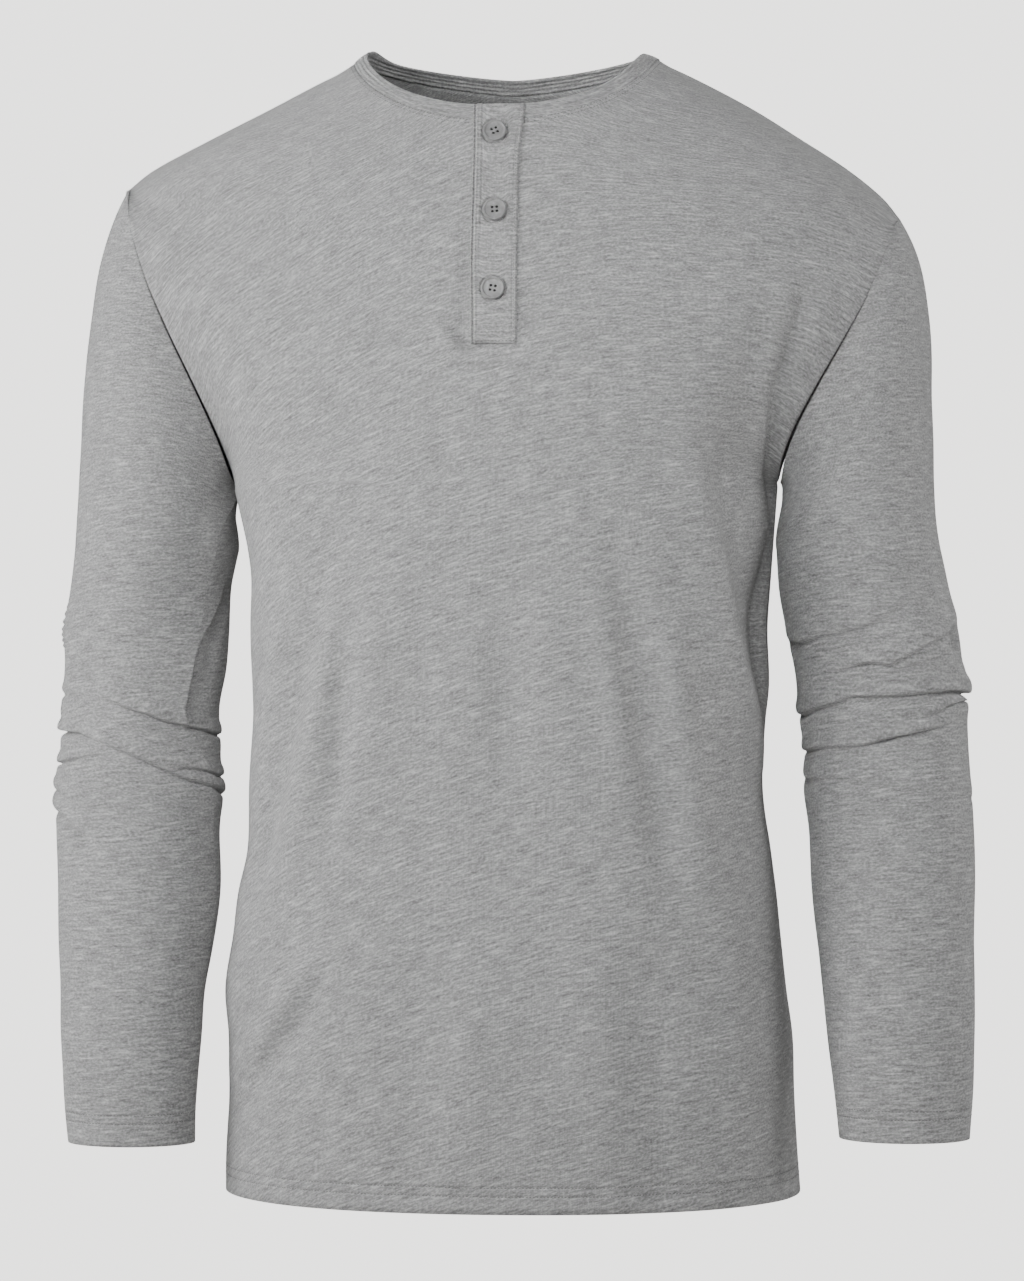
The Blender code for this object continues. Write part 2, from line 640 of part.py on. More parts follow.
def make_button(number, z, turn_degrees):
    """A turned four-hole button, lying on the upper leaf with its axis along the cloth's normal."""
    bm = bmesh.new()
    verts = [bm.verts.new((radius * MM, 0.0, height * MM)) for radius, height in BUTTON_PROFILE_MM]
    edges = [bm.edges.new(pair) for pair in zip(verts, verts[1:])]
    bmesh.ops.spin(bm, geom=verts + edges, cent=(0, 0, 0), axis=(0, 0, 1), angle=2 * math.pi,
                   steps=BUTTON_STEPS, use_merge=True)
    bmesh.ops.remove_doubles(bm, verts=bm.verts, dist=SAME_PLACE)
    bmesh.ops.recalc_face_normals(bm, faces=bm.faces)
    button = finish_piece(bm, f"button_{number}", BUTTON_GREY, roughness=0.45)
    seat = leaf_point(0.0, z, UPPER_LEAF_OUT + SEAM_GAP)
    below = leaf_point(0.0, z - SLOPE_STEP, 0.0)
    upwards = (leaf_point(0.0, z + SLOPE_STEP, 0.0) - below).normalized()
    axis = Vector((1, 0, 0)).cross(upwards)
    frame = Matrix((Vector((1, 0, 0)), upwards, axis)).transposed().to_4x4()
    turn = Matrix.Rotation(math.radians(turn_degrees), 4, "Z")
    button.matrix_world = Matrix.Translation(seat) @ frame @ turn
    cutter = make_hole_cutter(f"button_holes_{number}")
    cutter.matrix_world = button.matrix_world
    holes = button.modifiers.new("holes", "BOOLEAN")
    holes.operation = "DIFFERENCE"
    holes.solver = "EXACT"
    holes.object = cutter


def main():
    clear_scene()
    make_front()
    make_back()
    for side in SIGN:
        make_sleeve(side)
    make_neckband()
    make_leaf("placket_over", PLACKET_WIDTH, PLACKET_FOOT_Z, UPPER_LEAF_OUT)
    make_leaf("placket_under", UNDER_LEAF_WIDTH, UNDER_LEAF_FOOT_Z, UNDER_LEAF_OUT)
    for number, (z, turn) in enumerate(zip(BUTTON_HEIGHTS, BUTTON_TURN_DEGREES), 1):
        make_button(number, z, turn)


main()
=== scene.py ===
"""Heather grey henley shirt: cloth shells, sewing, buttons, light and camera.

Metres, +Z up, the front faces -Y, the wearer's left is +X.
"""

import bisect
import math

import bmesh
import bpy
from mathutils import Matrix, Vector, noise
from mathutils.bvhtree import BVHTree


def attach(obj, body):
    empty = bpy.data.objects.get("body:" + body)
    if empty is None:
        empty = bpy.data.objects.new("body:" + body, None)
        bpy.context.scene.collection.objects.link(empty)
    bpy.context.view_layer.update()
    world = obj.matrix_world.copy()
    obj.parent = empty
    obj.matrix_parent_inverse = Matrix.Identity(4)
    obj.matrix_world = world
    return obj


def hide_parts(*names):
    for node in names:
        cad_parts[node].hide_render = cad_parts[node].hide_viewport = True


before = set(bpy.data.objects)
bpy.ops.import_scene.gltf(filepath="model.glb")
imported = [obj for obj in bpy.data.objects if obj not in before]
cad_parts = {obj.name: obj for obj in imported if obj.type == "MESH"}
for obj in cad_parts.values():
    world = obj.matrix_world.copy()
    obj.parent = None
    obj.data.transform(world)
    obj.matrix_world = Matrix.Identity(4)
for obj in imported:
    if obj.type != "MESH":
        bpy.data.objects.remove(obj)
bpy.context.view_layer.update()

MM = 0.001
CLOTH = 1.0 * MM
BAND_CLOTH = 1.5 * MM
LEAF_CLOTH = 1.2 * MM

# Levels.
HEM_Z = -0.703
UNDERARM_Z = -0.264
FRONT_NECK_Z = -0.0456
BACK_NECK_Z = -0.0125
NECK_Z = {"front": FRONT_NECK_Z, "back": BACK_NECK_Z}
CUFF_Z = {"right": -0.6707, "left": -0.6642}
ARM_TOP_Z = -0.3051

# How softly the scoop of the neck levels out in front, and how open its curve is behind.
NECK_SOFTNESS = 0.16
BACK_NECK_POWER = 1.4

# The sides, by the wearer: the right one is at -X.
SIGN = {"right": -1, "left": 1}

# Shoulder seam from the high shoulder point to the tip: height, distance from the middle.
SHOULDER = {
    "right": ((0.0, 0.0940), (-0.0096, 0.1150), (-0.0277, 0.1506), (-0.0465, 0.1885),
              (-0.0653, 0.2240), (-0.0774, 0.2396)),
    "left": ((0.0, 0.0955), (-0.0113, 0.1190), (-0.0300, 0.1537), (-0.0488, 0.1833),
             (-0.0676, 0.2119), (-0.0863, 0.2346), (-0.1001, 0.2458)),
}

# Side seam: height, distance from the middle on the right and on the left.
SIDE_SEAM = (
    (UNDERARM_Z, 0.1690, 0.1690), (-0.318, 0.1587, 0.1650), (-0.350, 0.1587, 0.1625),
    (-0.390, 0.1578, 0.1635), (-0.412, 0.1575, 0.1612), (-0.452, 0.1600, 0.1595),
    (-0.492, 0.1618, 0.1643), (-0.518, 0.1673, 0.1680), (-0.543, 0.1703, 0.1705),
    (-0.578, 0.1753, 0.1742), (-0.608, 0.1735, 0.1780), (-0.643, 0.1729, 0.1792),
    (-0.680, 0.1750, 0.1812), (HEM_Z, 0.1752, 0.1829),
)

# Middle of the body: height, how far the front and the back reach.
BODY_DEPTH = (
    (0.000, -0.060, 0.060), (-0.020, -0.068, 0.074), (FRONT_NECK_Z, -0.078, 0.087),
    (-0.080, -0.091, 0.098), (-0.120, -0.104, 0.107), (-0.170, -0.116, 0.113),
    (-0.220, -0.1235, 0.1145), (-0.270, -0.1265, 0.1125), (-0.340, -0.1245, 0.106),
    (-0.420, -0.119, 0.101), (-0.500, -0.118, 0.1035), (-0.580, -0.122, 0.110),
    (-0.650, -0.127, 0.116), (HEM_Z, -0.129, 0.118),
)

# How square the body's level sections are: height, power of the section (2 is an ellipse).
BODY_POWER = ((0.000, 2.0), (-0.100, 2.0), (-0.180, 2.2), (-0.270, 2.6), (-0.420, 2.7),
              (-0.560, 2.5), (HEM_Z, 2.2))

# Armhole seam, from the tip (0) to the underarm (1): way along it, share of the run inwards. It
# lies off the middle of the body's depth, and flattens the body's sections towards it.
ARMHOLE_INWARD = ((0.0, 0.0), (0.2, 0.085), (0.3, 0.18), (0.4, 0.31), (0.5, 0.49),
                  (0.6, 0.68), (0.7, 0.84), (0.8, 0.94), (1.0, 1.0))
ARMHOLE_DEPTH = {"front": -0.062, "back": 0.057}
ARMHOLE_FLATTENING = math.radians(34)

# Sleeves below the underarm: height, inner side, outer side.
SLEEVE_SIDES = {
    "right": (
        (ARM_TOP_Z, 0.1705, 0.2728), (-0.3301, 0.1758, 0.2759), (-0.3551, 0.1770, 0.2800),
        (-0.3801, 0.1787, 0.2797), (-0.4051, 0.1825, 0.2816), (-0.4301, 0.1812, 0.2820),
        (-0.4551, 0.1790, 0.2850), (-0.4801, 0.1800, 0.2824), (-0.5176, 0.1784, 0.2800),
        (-0.5551, 0.1825, 0.2773), (-0.5801, 0.1859, 0.2754), (-0.6051, 0.1869, 0.2748),
        (-0.6301, 0.1883, 0.2726), (-0.6551, 0.1898, 0.2700), (-0.6707, 0.1898, 0.2682),
    ),
    "left": (
        (ARM_TOP_Z, 0.1686, 0.2698), (-0.3301, 0.1702, 0.2750), (-0.3551, 0.1749, 0.2826),
        (-0.3801, 0.1797, 0.2856), (-0.4051, 0.1823, 0.2864), (-0.4301, 0.1856, 0.2869),
        (-0.4551, 0.1854, 0.2887), (-0.4801, 0.1885, 0.2900), (-0.5176, 0.1904, 0.2900),
        (-0.5551, 0.1942, 0.2896), (-0.5801, 0.1973, 0.2893), (-0.6051, 0.1997, 0.2893),
        (-0.6301, 0.2029, 0.2886), (-0.6551, 0.2060, 0.2870), (-0.6670, 0.2072, 0.2862),
    ),
}

# Sleeve depth: height, middle of the section, half its depth.
SLEEVE_DEPTH = (
    (ARM_TOP_Z, 0.004, 0.0640), (-0.350, 0.006, 0.0585), (-0.420, 0.002, 0.0525),
    (-0.500, -0.014, 0.0460), (-0.580, -0.032, 0.0400), (-0.667, -0.049, 0.0330),
)

# Sleeve creases, where the cloth hangs over itself at the elbow: the width of the tuck, then the
# line as angle round the arm from the outer side over the front, height and depth in mm.
SLEEVE_CREASES = {
    "right": (
        (0.0060, ((39, -0.3977, 0), (63, -0.3981, 0.8), (75, -0.3987, 1.4), (90, -0.4036, 2.6),
                  (107, -0.4079, 3), (119, -0.4123, 3), (137, -0.4156, 3.2), (153, -0.4177, 3),
                  (172, -0.4205, 2.6), (183, -0.4208, 2.2), (225, -0.4240, 0))),
        (0.0060, ((-45, -0.4160, 0), (4, -0.4181, 2.8), (50, -0.4192, 2.7), (70, -0.4251, 1.8),
                  (86, -0.4299, 2.6), (102, -0.4354, 3), (118, -0.4423, 3), (136, -0.4487, 2.8),
                  (150, -0.4515, 2.8), (168, -0.4551, 2.6), (174, -0.4559, 2.4),
                  (215, -0.4620, 0))),
        (0.0050, ((-40, -0.4395, 0), (4, -0.4386, 2.8), (39, -0.4366, 2.4), (61, -0.4338, 1.3),
                  (78, -0.4324, 0))),
        (0.0050, ((110, -0.4349, 0), (127, -0.4400, 2.6), (148, -0.4429, 2.8), (168, -0.4465, 2.4),
                  (175, -0.4460, 2.4), (215, -0.4490, 0))),
    ),
    "left": (
        (0.0080, ((-55, -0.3950, 0), (-4, -0.3945, 5.4), (27, -0.3929, 4.6), (39, -0.3928, 4),
                  (62, -0.3945, 3.4), (81, -0.3962, 3.2), (101, -0.3968, 3), (113, -0.3969, 2.8),
                  (122, -0.4006, 2.6), (140, -0.4039, 3.2), (163, -0.4086, 3.2),
                  (195, -0.4070, 0))),
        (0.0060, ((31, -0.4127, 0), (50, -0.4149, 2), (67, -0.4178, 3), (82, -0.4201, 3.4),
                  (95, -0.4232, 3.2), (108, -0.4263, 2.4), (132, -0.4278, 1.6), (164, -0.4303, 2.6),
                  (198, -0.4310, 0))),
        (0.0040, ((-40, -0.3985, 0), (-14, -0.3985, 2), (27, -0.3991, 2.6), (43, -0.4014, 2.6),
                  (52, -0.4056, 2.4), (61, -0.4092, 1), (66, -0.4104, 0))),
        (0.0080, ((-20, -0.4590, 0), (9, -0.4595, 0.6), (64, -0.4557, 0.8), (83, -0.4531, 1),
                  (103, -0.4507, 1), (129, -0.4461, 1.4), (162, -0.4482, 2.4), (190, -0.4470, 0))),
        (0.0090, ((63, -0.3374, 0), (73, -0.3435, 1.2), (85, -0.3503, 1.6), (98, -0.3552, 1.8),
                  (112, -0.3588, 1.8), (129, -0.3607, 1.8), (148, -0.3644, 3), (190, -0.3620, 0))),
        (0.0070, ((15, -0.3538, 0), (36, -0.3588, 1.6), (57, -0.3656, 2.2), (72, -0.3723, 2.4),
                  (84, -0.3772, 2.4), (99, -0.3760, 2.4), (112, -0.3791, 2), (130, -0.3859, 0))),
        (0.0060, ((38, -0.3706, 0), (55, -0.3742, 1), (69, -0.3779, 1.2), (82, -0.3815, 1),
                  (93, -0.3833, 0))),
    ),
}

# Soft valleys on the outer half of the right sleeve: half the width, then the line as angle,
# height and depth in mm.
SLEEVE_VALLEYS = {
    "right": (
        (0.0024, ((-6, -0.3360, 0), (6, -0.3480, 3.6), (14, -0.3600, 4.6), (26, -0.3720, 4.4),
                  (44, -0.3820, 3.8), (58, -0.3890, 2.6), (73, -0.3950, 0))),
        (0.0021, ((-30, -0.3940, 0), (4, -0.3950, 1.8), (26, -0.3965, 1.6), (45, -0.3985, 1.4),
                  (60, -0.3985, 0))),
        (0.0027, ((0, -0.4090, 0), (20, -0.4125, 1.4), (45, -0.4150, 1.4), (70, -0.4215, 0))),
        (0.0021, ((-35, -0.4500, 0), (4, -0.4535, 3.2), (20, -0.4570, 3.2), (42, -0.4610, 2.6),
                  (62, -0.4660, 1.6), (85, -0.4690, 0))),
        (0.0027, ((-35, -0.4600, 0), (8, -0.4680, 3.8), (34, -0.4730, 3.8), (49, -0.4790, 3.2),
                  (61, -0.4850, 2.4), (73, -0.4920, 1.2), (85, -0.4990, 0))),
        (0.0021, ((-30, -0.4180, 0), (6, -0.4190, 2.2), (30, -0.4200, 2), (55, -0.4215, 1.2),
                  (70, -0.4245, 0))),
    ),
}

# Soft sleeve hollows: angle, height, fall a radian, half the spread in degrees, half the width and
# depth.
SLEEVE_HOLLOWS = {
    "right": (
        (235, -0.425, 0.012, 60, 0.0090, 0.0030),
        (280, -0.385, -0.010, 50, 0.0100, 0.0025),
        (80, -0.368, -0.016, 45, 0.0120, 0.0014),
        (110, -0.487, -0.030, 60, 0.0110, 0.0016),
    ),
    "left": (
        (230, -0.432, 0.010, 60, 0.0090, 0.0030),
        (285, -0.390, -0.012, 50, 0.0100, 0.0025),
        (10, -0.3625, 0.0, 24, 0.0090, 0.0090),
        (60, -0.474, 0.012, 60, 0.0110, 0.0012),
    ),
}
HOLLOW_FADE = 1.6

# Underarm seam: height, angle round the arm. The right one turns to the front above the elbow.
UNDERARM_SEAM = {
    "right": ((-0.200, 180), (-0.244, 150), (-0.278, 147), (-0.312, 143), (-0.345, 139),
              (-0.369, 134), (-0.395, 132), (-0.4124, 135), (-0.427, 142), (-0.440, 149),
              (-0.460, 158), (-0.520, 168), (-0.667, 172)),
    "left": ((-0.200, 180), (-0.300, 176), (-0.450, 178), (-0.667, 176)),
}

# Where the front of the right sleeve folds over its inner side: height, angle round the arm and
# depth in mm; then how soft the fold is, how wide the side plane behind it is and fades out, and
# the share and width of the cloth's roll in front of it.
SLEEVE_EDGE = {
    "right": ((-0.322, 170, 0), (-0.334, 163, 1.4), (-0.348, 151, 2.2), (-0.359, 141, 2.6),
              (-0.372, 136, 2.8), (-0.386, 134, 2.8), (-0.400, 133, 2.6), (-0.412, 133, 1.6),
              (-0.419, 133, 0)),
}
EDGE_SOFTNESS = 1.8 * MM
SIDE_PLANE = 14 * MM
SIDE_PLANE_FADE = 12 * MM
EDGE_ROLL = 0.35
EDGE_ROLL_WIDTH = 2.4 * MM

# Turns an angle round the arm into a length.
SLEEVE_RADIUS = 56 * MM

# The sleeve cap leaves the armhole outwards and down, less so at the underarm than at the tip, and
# with a share of the seam's own depth. It arrives at the arm leaning outwards.
CAP_OUT_UNDERARM = 0.022
CAP_OUT_TIP = 0.090
CAP_DOWN_UNDERARM = 0.030
CAP_DOWN_TIP = 0.150
CAP_DEPTH_SHARE = 0.25
ARM_TILT = {"right": 0.08, "left": 0.17}

# The cloth sinks to the armhole seam over a few rings of the cap and columns of the body.
ARMHOLE_HOLLOW = 1.2 * MM
ARMHOLE_FADE_RINGS = 14
ARMHOLE_FADE_COLUMNS = 8

# The underarm seam: a soft corner round it above the elbow, with its half angle, bottom, top and
# the fades at both, a ridge along it, and how the grid crowds to it.
SEAM_CORNER = {"right": 3.0 * MM, "left": 0.6 * MM}
SEAM_CORNER_ANGLE = math.radians(15)
SEAM_CORNER_LOW_Z = -0.50
SEAM_CORNER_LOW_FADE = 0.06
SEAM_CORNER_TOP_Z = -0.24
SEAM_CORNER_TOP_FADE = 0.04
SEAM_RIDGE = {"right": 0.5 * MM, "left": -0.4 * MM}
SEAM_CROWDING = {"right": 0.6, "left": 0.1}

# How deep the side seams of the body are pulled in.
SIDE_SEAM_SINK = 0.4 * MM

# Body folds: half the width, then the line as height, place across the body and depth in mm. A
# ridge has a depth below nothing. The folds fade out a few columns from a seam.
FOLD_FADE_COLUMNS = 5
BODY_FOLDS = {
    "front": (
        # flank, the wearer's right
        (0.0090, ((-0.289, -0.098, 0), (-0.313, -0.102, 3.4), (-0.337, -0.107, 5.4),
                  (-0.373, -0.118, 7.1), (-0.416, -0.129, 7.8), (-0.453, -0.137, 7.8),
                  (-0.491, -0.146, 6.1), (-0.531, -0.154, 0))),
        (0.0100, ((-0.361, -0.100, 0), (-0.398, -0.105, -3.7), (-0.446, -0.115, -4.4),
                  (-0.489, -0.121, -3.4), (-0.520, -0.126, 0))),
        (0.0080, ((-0.313, -0.084, 0), (-0.349, -0.087, 2.7), (-0.397, -0.092, 4.1),
                  (-0.446, -0.095, 4.1), (-0.482, -0.101, 2.7), (-0.513, -0.106, 0))),
        (0.0100, ((-0.313, -0.065, 0), (-0.349, -0.068, -1.7), (-0.409, -0.073, -2),
                  (-0.458, -0.077, 0))),
        (0.0070, ((-0.557, -0.099, 0), (-0.574, -0.107, 3.4), (-0.593, -0.120, 5.2),
                  (-0.616, -0.136, 5.2), (-0.639, -0.152, 3.4), (-0.658, -0.163, 0))),
        (0.0090, ((-0.549, -0.107, 0), (-0.567, -0.119, -3.4), (-0.588, -0.132, -4.1),
                  (-0.610, -0.148, -3.4), (-0.633, -0.162, 0))),
        # flank, the wearer's left
        (0.0090, ((-0.290, 0.072, 0), (-0.320, 0.076, 3.4), (-0.355, 0.083, 5.1),
                  (-0.397, 0.090, 5.4), (-0.439, 0.095, 5.4), (-0.487, 0.101, 4.4),
                  (-0.542, 0.110, 0))),
        (0.0110, ((-0.314, 0.062, 0), (-0.349, 0.066, -2.4), (-0.397, 0.071, -2.5),
                  (-0.451, 0.078, -2), (-0.493, 0.083, 0))),
        (0.0100, ((-0.337, 0.100, 0), (-0.367, 0.106, -3.7), (-0.422, 0.114, -4.8),
                  (-0.476, 0.121, -4.1), (-0.530, 0.128, 0))),
        (0.0100, ((-0.229, 0.114, 0), (-0.259, 0.121, -4.4), (-0.292, 0.128, -5.8),
                  (-0.331, 0.138, -6.1), (-0.373, 0.148, -5.8), (-0.410, 0.157, -4.1),
                  (-0.448, 0.163, 0))),
        (0.0170, ((-0.235, 0.140, 0), (-0.265, 0.145, 5), (-0.310, 0.153, 10),
                  (-0.361, 0.164, 12), (-0.405, 0.171, 8.5), (-0.440, 0.175, 0))),
        (0.0220, ((-0.153, 0.166, 0), (-0.172, 0.165, 5.1), (-0.215, 0.162, 8.5),
                  (-0.258, 0.152, 6.8), (-0.295, 0.144, 0))),
        (0.0130, ((-0.459, 0.145, 0), (-0.489, 0.149, 1.6), (-0.532, 0.157, 2.3),
                  (-0.582, 0.165, 2.4), (-0.637, 0.171, 2.2), (-0.699, 0.176, 1.8))),
        (0.0120, ((-0.470, 0.128, 0), (-0.501, 0.134, -2.0), (-0.567, 0.143, -2.5),
                  (-0.634, 0.152, -2.0), (-0.683, 0.157, 0))),
        # soft waves down the middle
        (0.0160, ((-0.314, 0.009, 0), (-0.349, 0.009, 1.4), (-0.409, 0.006, 1.7),
                  (-0.457, 0.005, 1.4), (-0.499, 0.005, 0))),
        (0.0140, ((-0.314, 0.032, 0), (-0.349, 0.034, -2.6), (-0.403, 0.037, -2.9),
                  (-0.457, 0.041, -2.2), (-0.493, 0.042, 0))),
        (0.0130, ((-0.332, -0.009, 0), (-0.367, -0.010, -2.2), (-0.415, -0.012, -2.2),
                  (-0.469, -0.013, 0))),
        (0.0160, ((-0.517, 0.056, 0), (-0.558, 0.060, -2.1), (-0.618, 0.067, -2.4),
                  (-0.677, 0.074, -2.4), (-0.701, 0.076, -1.6))),
        (0.0200, ((-0.535, 0.091, 0), (-0.577, 0.095, 4), (-0.630, 0.098, 4.4),
                  (-0.696, 0.101, 4.4))),
        (0.0180, ((-0.505, -0.038, 0), (-0.553, -0.041, 2.6), (-0.624, -0.043, 3.1),
                  (-0.698, -0.045, 2.6))),
        (0.0160, ((-0.552, -0.013, 0), (-0.600, -0.014, -2.2), (-0.688, -0.014, -2.2))),
        # pulls at the placket's foot
        (0.0040, ((-0.160, -0.031, 0), (-0.169, -0.026, 1.8), (-0.178, -0.020, 3),
                  (-0.185, -0.012, 3.3), (-0.190, -0.001, 2.4), (-0.191, 0.010, 0))),
        (0.0060, ((-0.169, -0.037, 0), (-0.178, -0.031, -1.5), (-0.187, -0.024, -2),
                  (-0.194, -0.013, -1.8), (-0.199, 0.003, 0))),
        (0.0045, ((-0.120, -0.013, 0), (-0.138, -0.014, 2.4), (-0.158, -0.016, 3),
                  (-0.174, -0.014, 2.4), (-0.185, -0.010, 0))),
        # armholes
        (0.0100, ((-0.141, -0.228, 0), (-0.161, -0.216, 2.8), (-0.186, -0.202, 4.2),
                  (-0.212, -0.187, 4.2), (-0.238, -0.168, 2.8), (-0.257, -0.160, 0))),
        (0.0045, ((-0.139, 0.188, 0), (-0.156, 0.185, 3.5), (-0.175, 0.182, 5.6),
                  (-0.196, 0.178, 7), (-0.215, 0.175, 7), (-0.239, 0.173, 7),
                  (-0.263, 0.171, 5.6), (-0.287, 0.169, 0))),
        (0.0090, ((-0.133, 0.178, 0), (-0.165, 0.174, -2), (-0.197, 0.168, -2.8),
                  (-0.227, 0.164, -2.1), (-0.252, 0.160, 0))),
        (0.0340, ((-0.180, -0.112, 0), (-0.204, -0.120, -3.5), (-0.234, -0.125, -4.9),
                  (-0.264, -0.124, -3.5), (-0.301, -0.119, 0))),
    ),
    "back": (
        (0.0160, ((-0.280, -0.118, 0), (-0.340, -0.107, 3.9), (-0.400, -0.092, 4.5),
                  (-0.470, -0.072, 0))),
        (0.0170, ((-0.270, 0.124, 0), (-0.330, 0.112, 3.9), (-0.390, 0.098, 4.9),
                  (-0.455, 0.080, 0))),
        (0.0150, ((-0.330, -0.130, 0), (-0.400, -0.122, -2.6), (-0.470, -0.110, -2.6),
                  (-0.540, -0.100, 0))),
        (0.0140, ((-0.380, 0.030, 0), (-0.430, 0.024, 1.8), (-0.520, 0.016, 2.1),
                  (-0.600, 0.012, 0))),
        (0.0140, ((-0.400, -0.028, 0), (-0.470, -0.034, 1.8), (-0.560, -0.040, 2.1),
                  (-0.640, -0.044, 0))),
        (0.0140, ((-0.160, -0.158, 0), (-0.200, -0.138, 3.6), (-0.240, -0.118, 3.1),
                  (-0.285, -0.098, 0))),
        (0.0140, ((-0.165, 0.160, 0), (-0.205, 0.142, 3.9), (-0.245, 0.122, 3.4),
                  (-0.295, 0.102, 0))),
        (0.0140, ((-0.530, -0.106, 0), (-0.580, -0.118, 3.2), (-0.640, -0.134, 3.2),
                  (-0.690, -0.146, 2))),
        (0.0140, ((-0.520, 0.096, 0), (-0.570, 0.108, 3.2), (-0.630, 0.124, 3.2),
                  (-0.690, 0.138, 2))),
        (0.0160, ((-0.480, 0.068, 0), (-0.560, 0.076, -2.6), (-0.640, 0.086, -2.6),
                  (-0.700, 0.092, -2))),
        (0.0090, ((-0.150, 0.196, 0), (-0.185, 0.186, 3.9), (-0.220, 0.178, 4.5),
                  (-0.262, 0.170, 0))),
        (0.0090, ((-0.145, -0.196, 0), (-0.180, -0.186, 3.9), (-0.220, -0.178, 4.5),
                  (-0.262, -0.170, 0))),
    ),
}

# Neckband: how high it stands and how far it leans in, in the middle and at the shoulders, and how
# far its ends lie from the middle.
BAND_HEIGHT_MIDDLE = 9.4 * MM
BAND_HEIGHT_SIDE = 5.2 * MM
BAND_LEAN_MIDDLE = 4.4 * MM
BAND_LEAN_SIDE = 7.9 * MM
BAND_BULGE = 0.4 * MM
BAND_END = {"left": 16.3 * MM, "right": 11.8 * MM}

# Where the band stands up or dips near the high shoulder points: turn past them, spread, height.
BAND_HUMPS = {"right": ((0.22, 0.24, 4.2 * MM),),
              "left": ((-0.36, 0.26, 2.4 * MM), (-0.04, 0.20, -2.8 * MM))}

# The band's grid, the grooves along it above its seam with their share of a seam's depth, and the
# rows of stitches below it, which start a small turn from the middle of the front.
BAND_AROUND = 260
BAND_ACROSS = 8
BAND_ROWS = (2.4 * MM, 4.9 * MM, 7.4 * MM)
BAND_GROOVE_DEPTH = 0.8
NECK_STITCHES = (0.7 * MM, 3.0 * MM)
NECK_LINE_START = math.radians(10)

# Placket and its buttons.
PLACKET_FOOT_Z = -0.1843
BOX_TOP_Z = -0.1778
SLOT_WIDTH = 22 * MM
SLOT_FOOT_Z = -0.172

# Upper leaf: height, then where its edges lie, the groove on the wearer's right and the fold on
# the left. It widens at the neck. A strip goes on beyond the groove.
LEAF_EDGES = (
    (-0.0340, -0.0130, 0.0175), (-0.0450, -0.0129, 0.0166), (-0.0550, -0.0126, 0.0154),
    (-0.0700, -0.0123, 0.0144), (-0.1000, -0.0121, 0.0145), (-0.1300, -0.0120, 0.0147),
    (-0.1600, -0.0112, 0.0150), (-0.1843, -0.0108, 0.0152),
)
LEAF_STRIP = 1.3 * MM
LEAF_GAP = 0.3 * MM
UPPER_LEAF_OUT = LEAF_GAP + LEAF_CLOTH
UPPER_LEAF_GRID = (80, 300)
UNDER_LEAF_OUT = -CLOTH - LEAF_GAP
UNDER_LEAF_HALF = 13.5 * MM
UNDER_LEAF_FOOT_Z = -0.180
UNDER_LEAF_GRID = (20, 60)

# Relief of the upper leaf, all in mm: place in from the edge, half the width and height. On the
# wearer's right a groove and a rolled fold, with a lower strip beyond them, and a second soft fold
# that ends above the third button; on the left a narrow stitched fold.
GROOVE_SIDE_FORM = ((0.0, 0.6, -1.3), (1.3, 0.6, 0.6))
SECOND_FOLD_FORM = ((3.1, 0.8, 0.35), (4.4, 0.8, -0.25))
SECOND_FOLD_FOOT_Z = -0.150
SECOND_FOLD_FADE = 0.03
FOLD_SIDE_FORM = ((0.0, 0.6, -0.8), (1.3, 0.6, 0.45), (2.7, 0.6, -0.3))
STRIP_DROP = 0.5
STRIP_FADE = 0.8
BOX_GROOVE_FORM = ((0.0, 0.7, -0.3),)

# Stitch rows of the placket: the two across the box and how far they end from the leaf's edges,
# and the one beside the fold, with its distance from it and from the band's top.
BOX_ROWS_Z = (PLACKET_FOOT_Z + 1.2 * MM, BOX_TOP_Z)
BOX_INSET = 1.0 * MM
FOLD_ROW_INSET = 2.0 * MM
FOLD_ROW_TOP_GAP = 1.0 * MM

# Buttons, from the top: off the middle, height, turn of the holes in degrees.
BUTTONS = ((-0.9 * MM, -0.0537, 25), (0.5 * MM, -0.1030, 5), (0.5 * MM, -0.1513, -10))

# Half the button's section, from the middle of its back over the rim to the middle of its face.
BUTTON_PROFILE_MM = ((0.0, 0.0), (5.6, 0.0), (6.6, 0.25), (7.05, 0.7), (7.2, 1.1), (7.1, 1.5),
                     (6.85, 1.8), (6.5, 1.95), (6.2, 1.95), (5.9, 1.75), (5.6, 1.35), (5.3, 1.22),
                     (4.5, 1.2), (0.0, 1.18))
BUTTON_AROUND = 48
BUTTON_RADIUS = 7.2 * MM
BUTTON_LIFT = -0.1 * MM
HOLE_RADIUS = 0.95 * MM
HOLE_SPACING = 2.75 * MM
HOLE_PLACES = [(x * HOLE_SPACING, y * HOLE_SPACING) for x in (-0.5, 0.5) for y in (-0.5, 0.5)]

# A button presses a dent into the leaf, deepest in a moat round its rim.
BUTTON_DENT_MM = 0.7
BUTTON_DENT_FADE = 1.8 * MM
BUTTON_MOAT_MM = 0.7
BUTTON_MOAT_WIDTH = 0.7 * MM

# The thread in a button's holes, near-black as painted shade of the holes: its height above the
# back, half its length, and its width as a share of the hole's, so that it touches the wall.
KNOT_HEIGHT = 0.32 * MM
KNOT_HALF = 0.3 * MM
KNOT_FULLNESS = 1.05
SHARP_EDGE = math.radians(40)

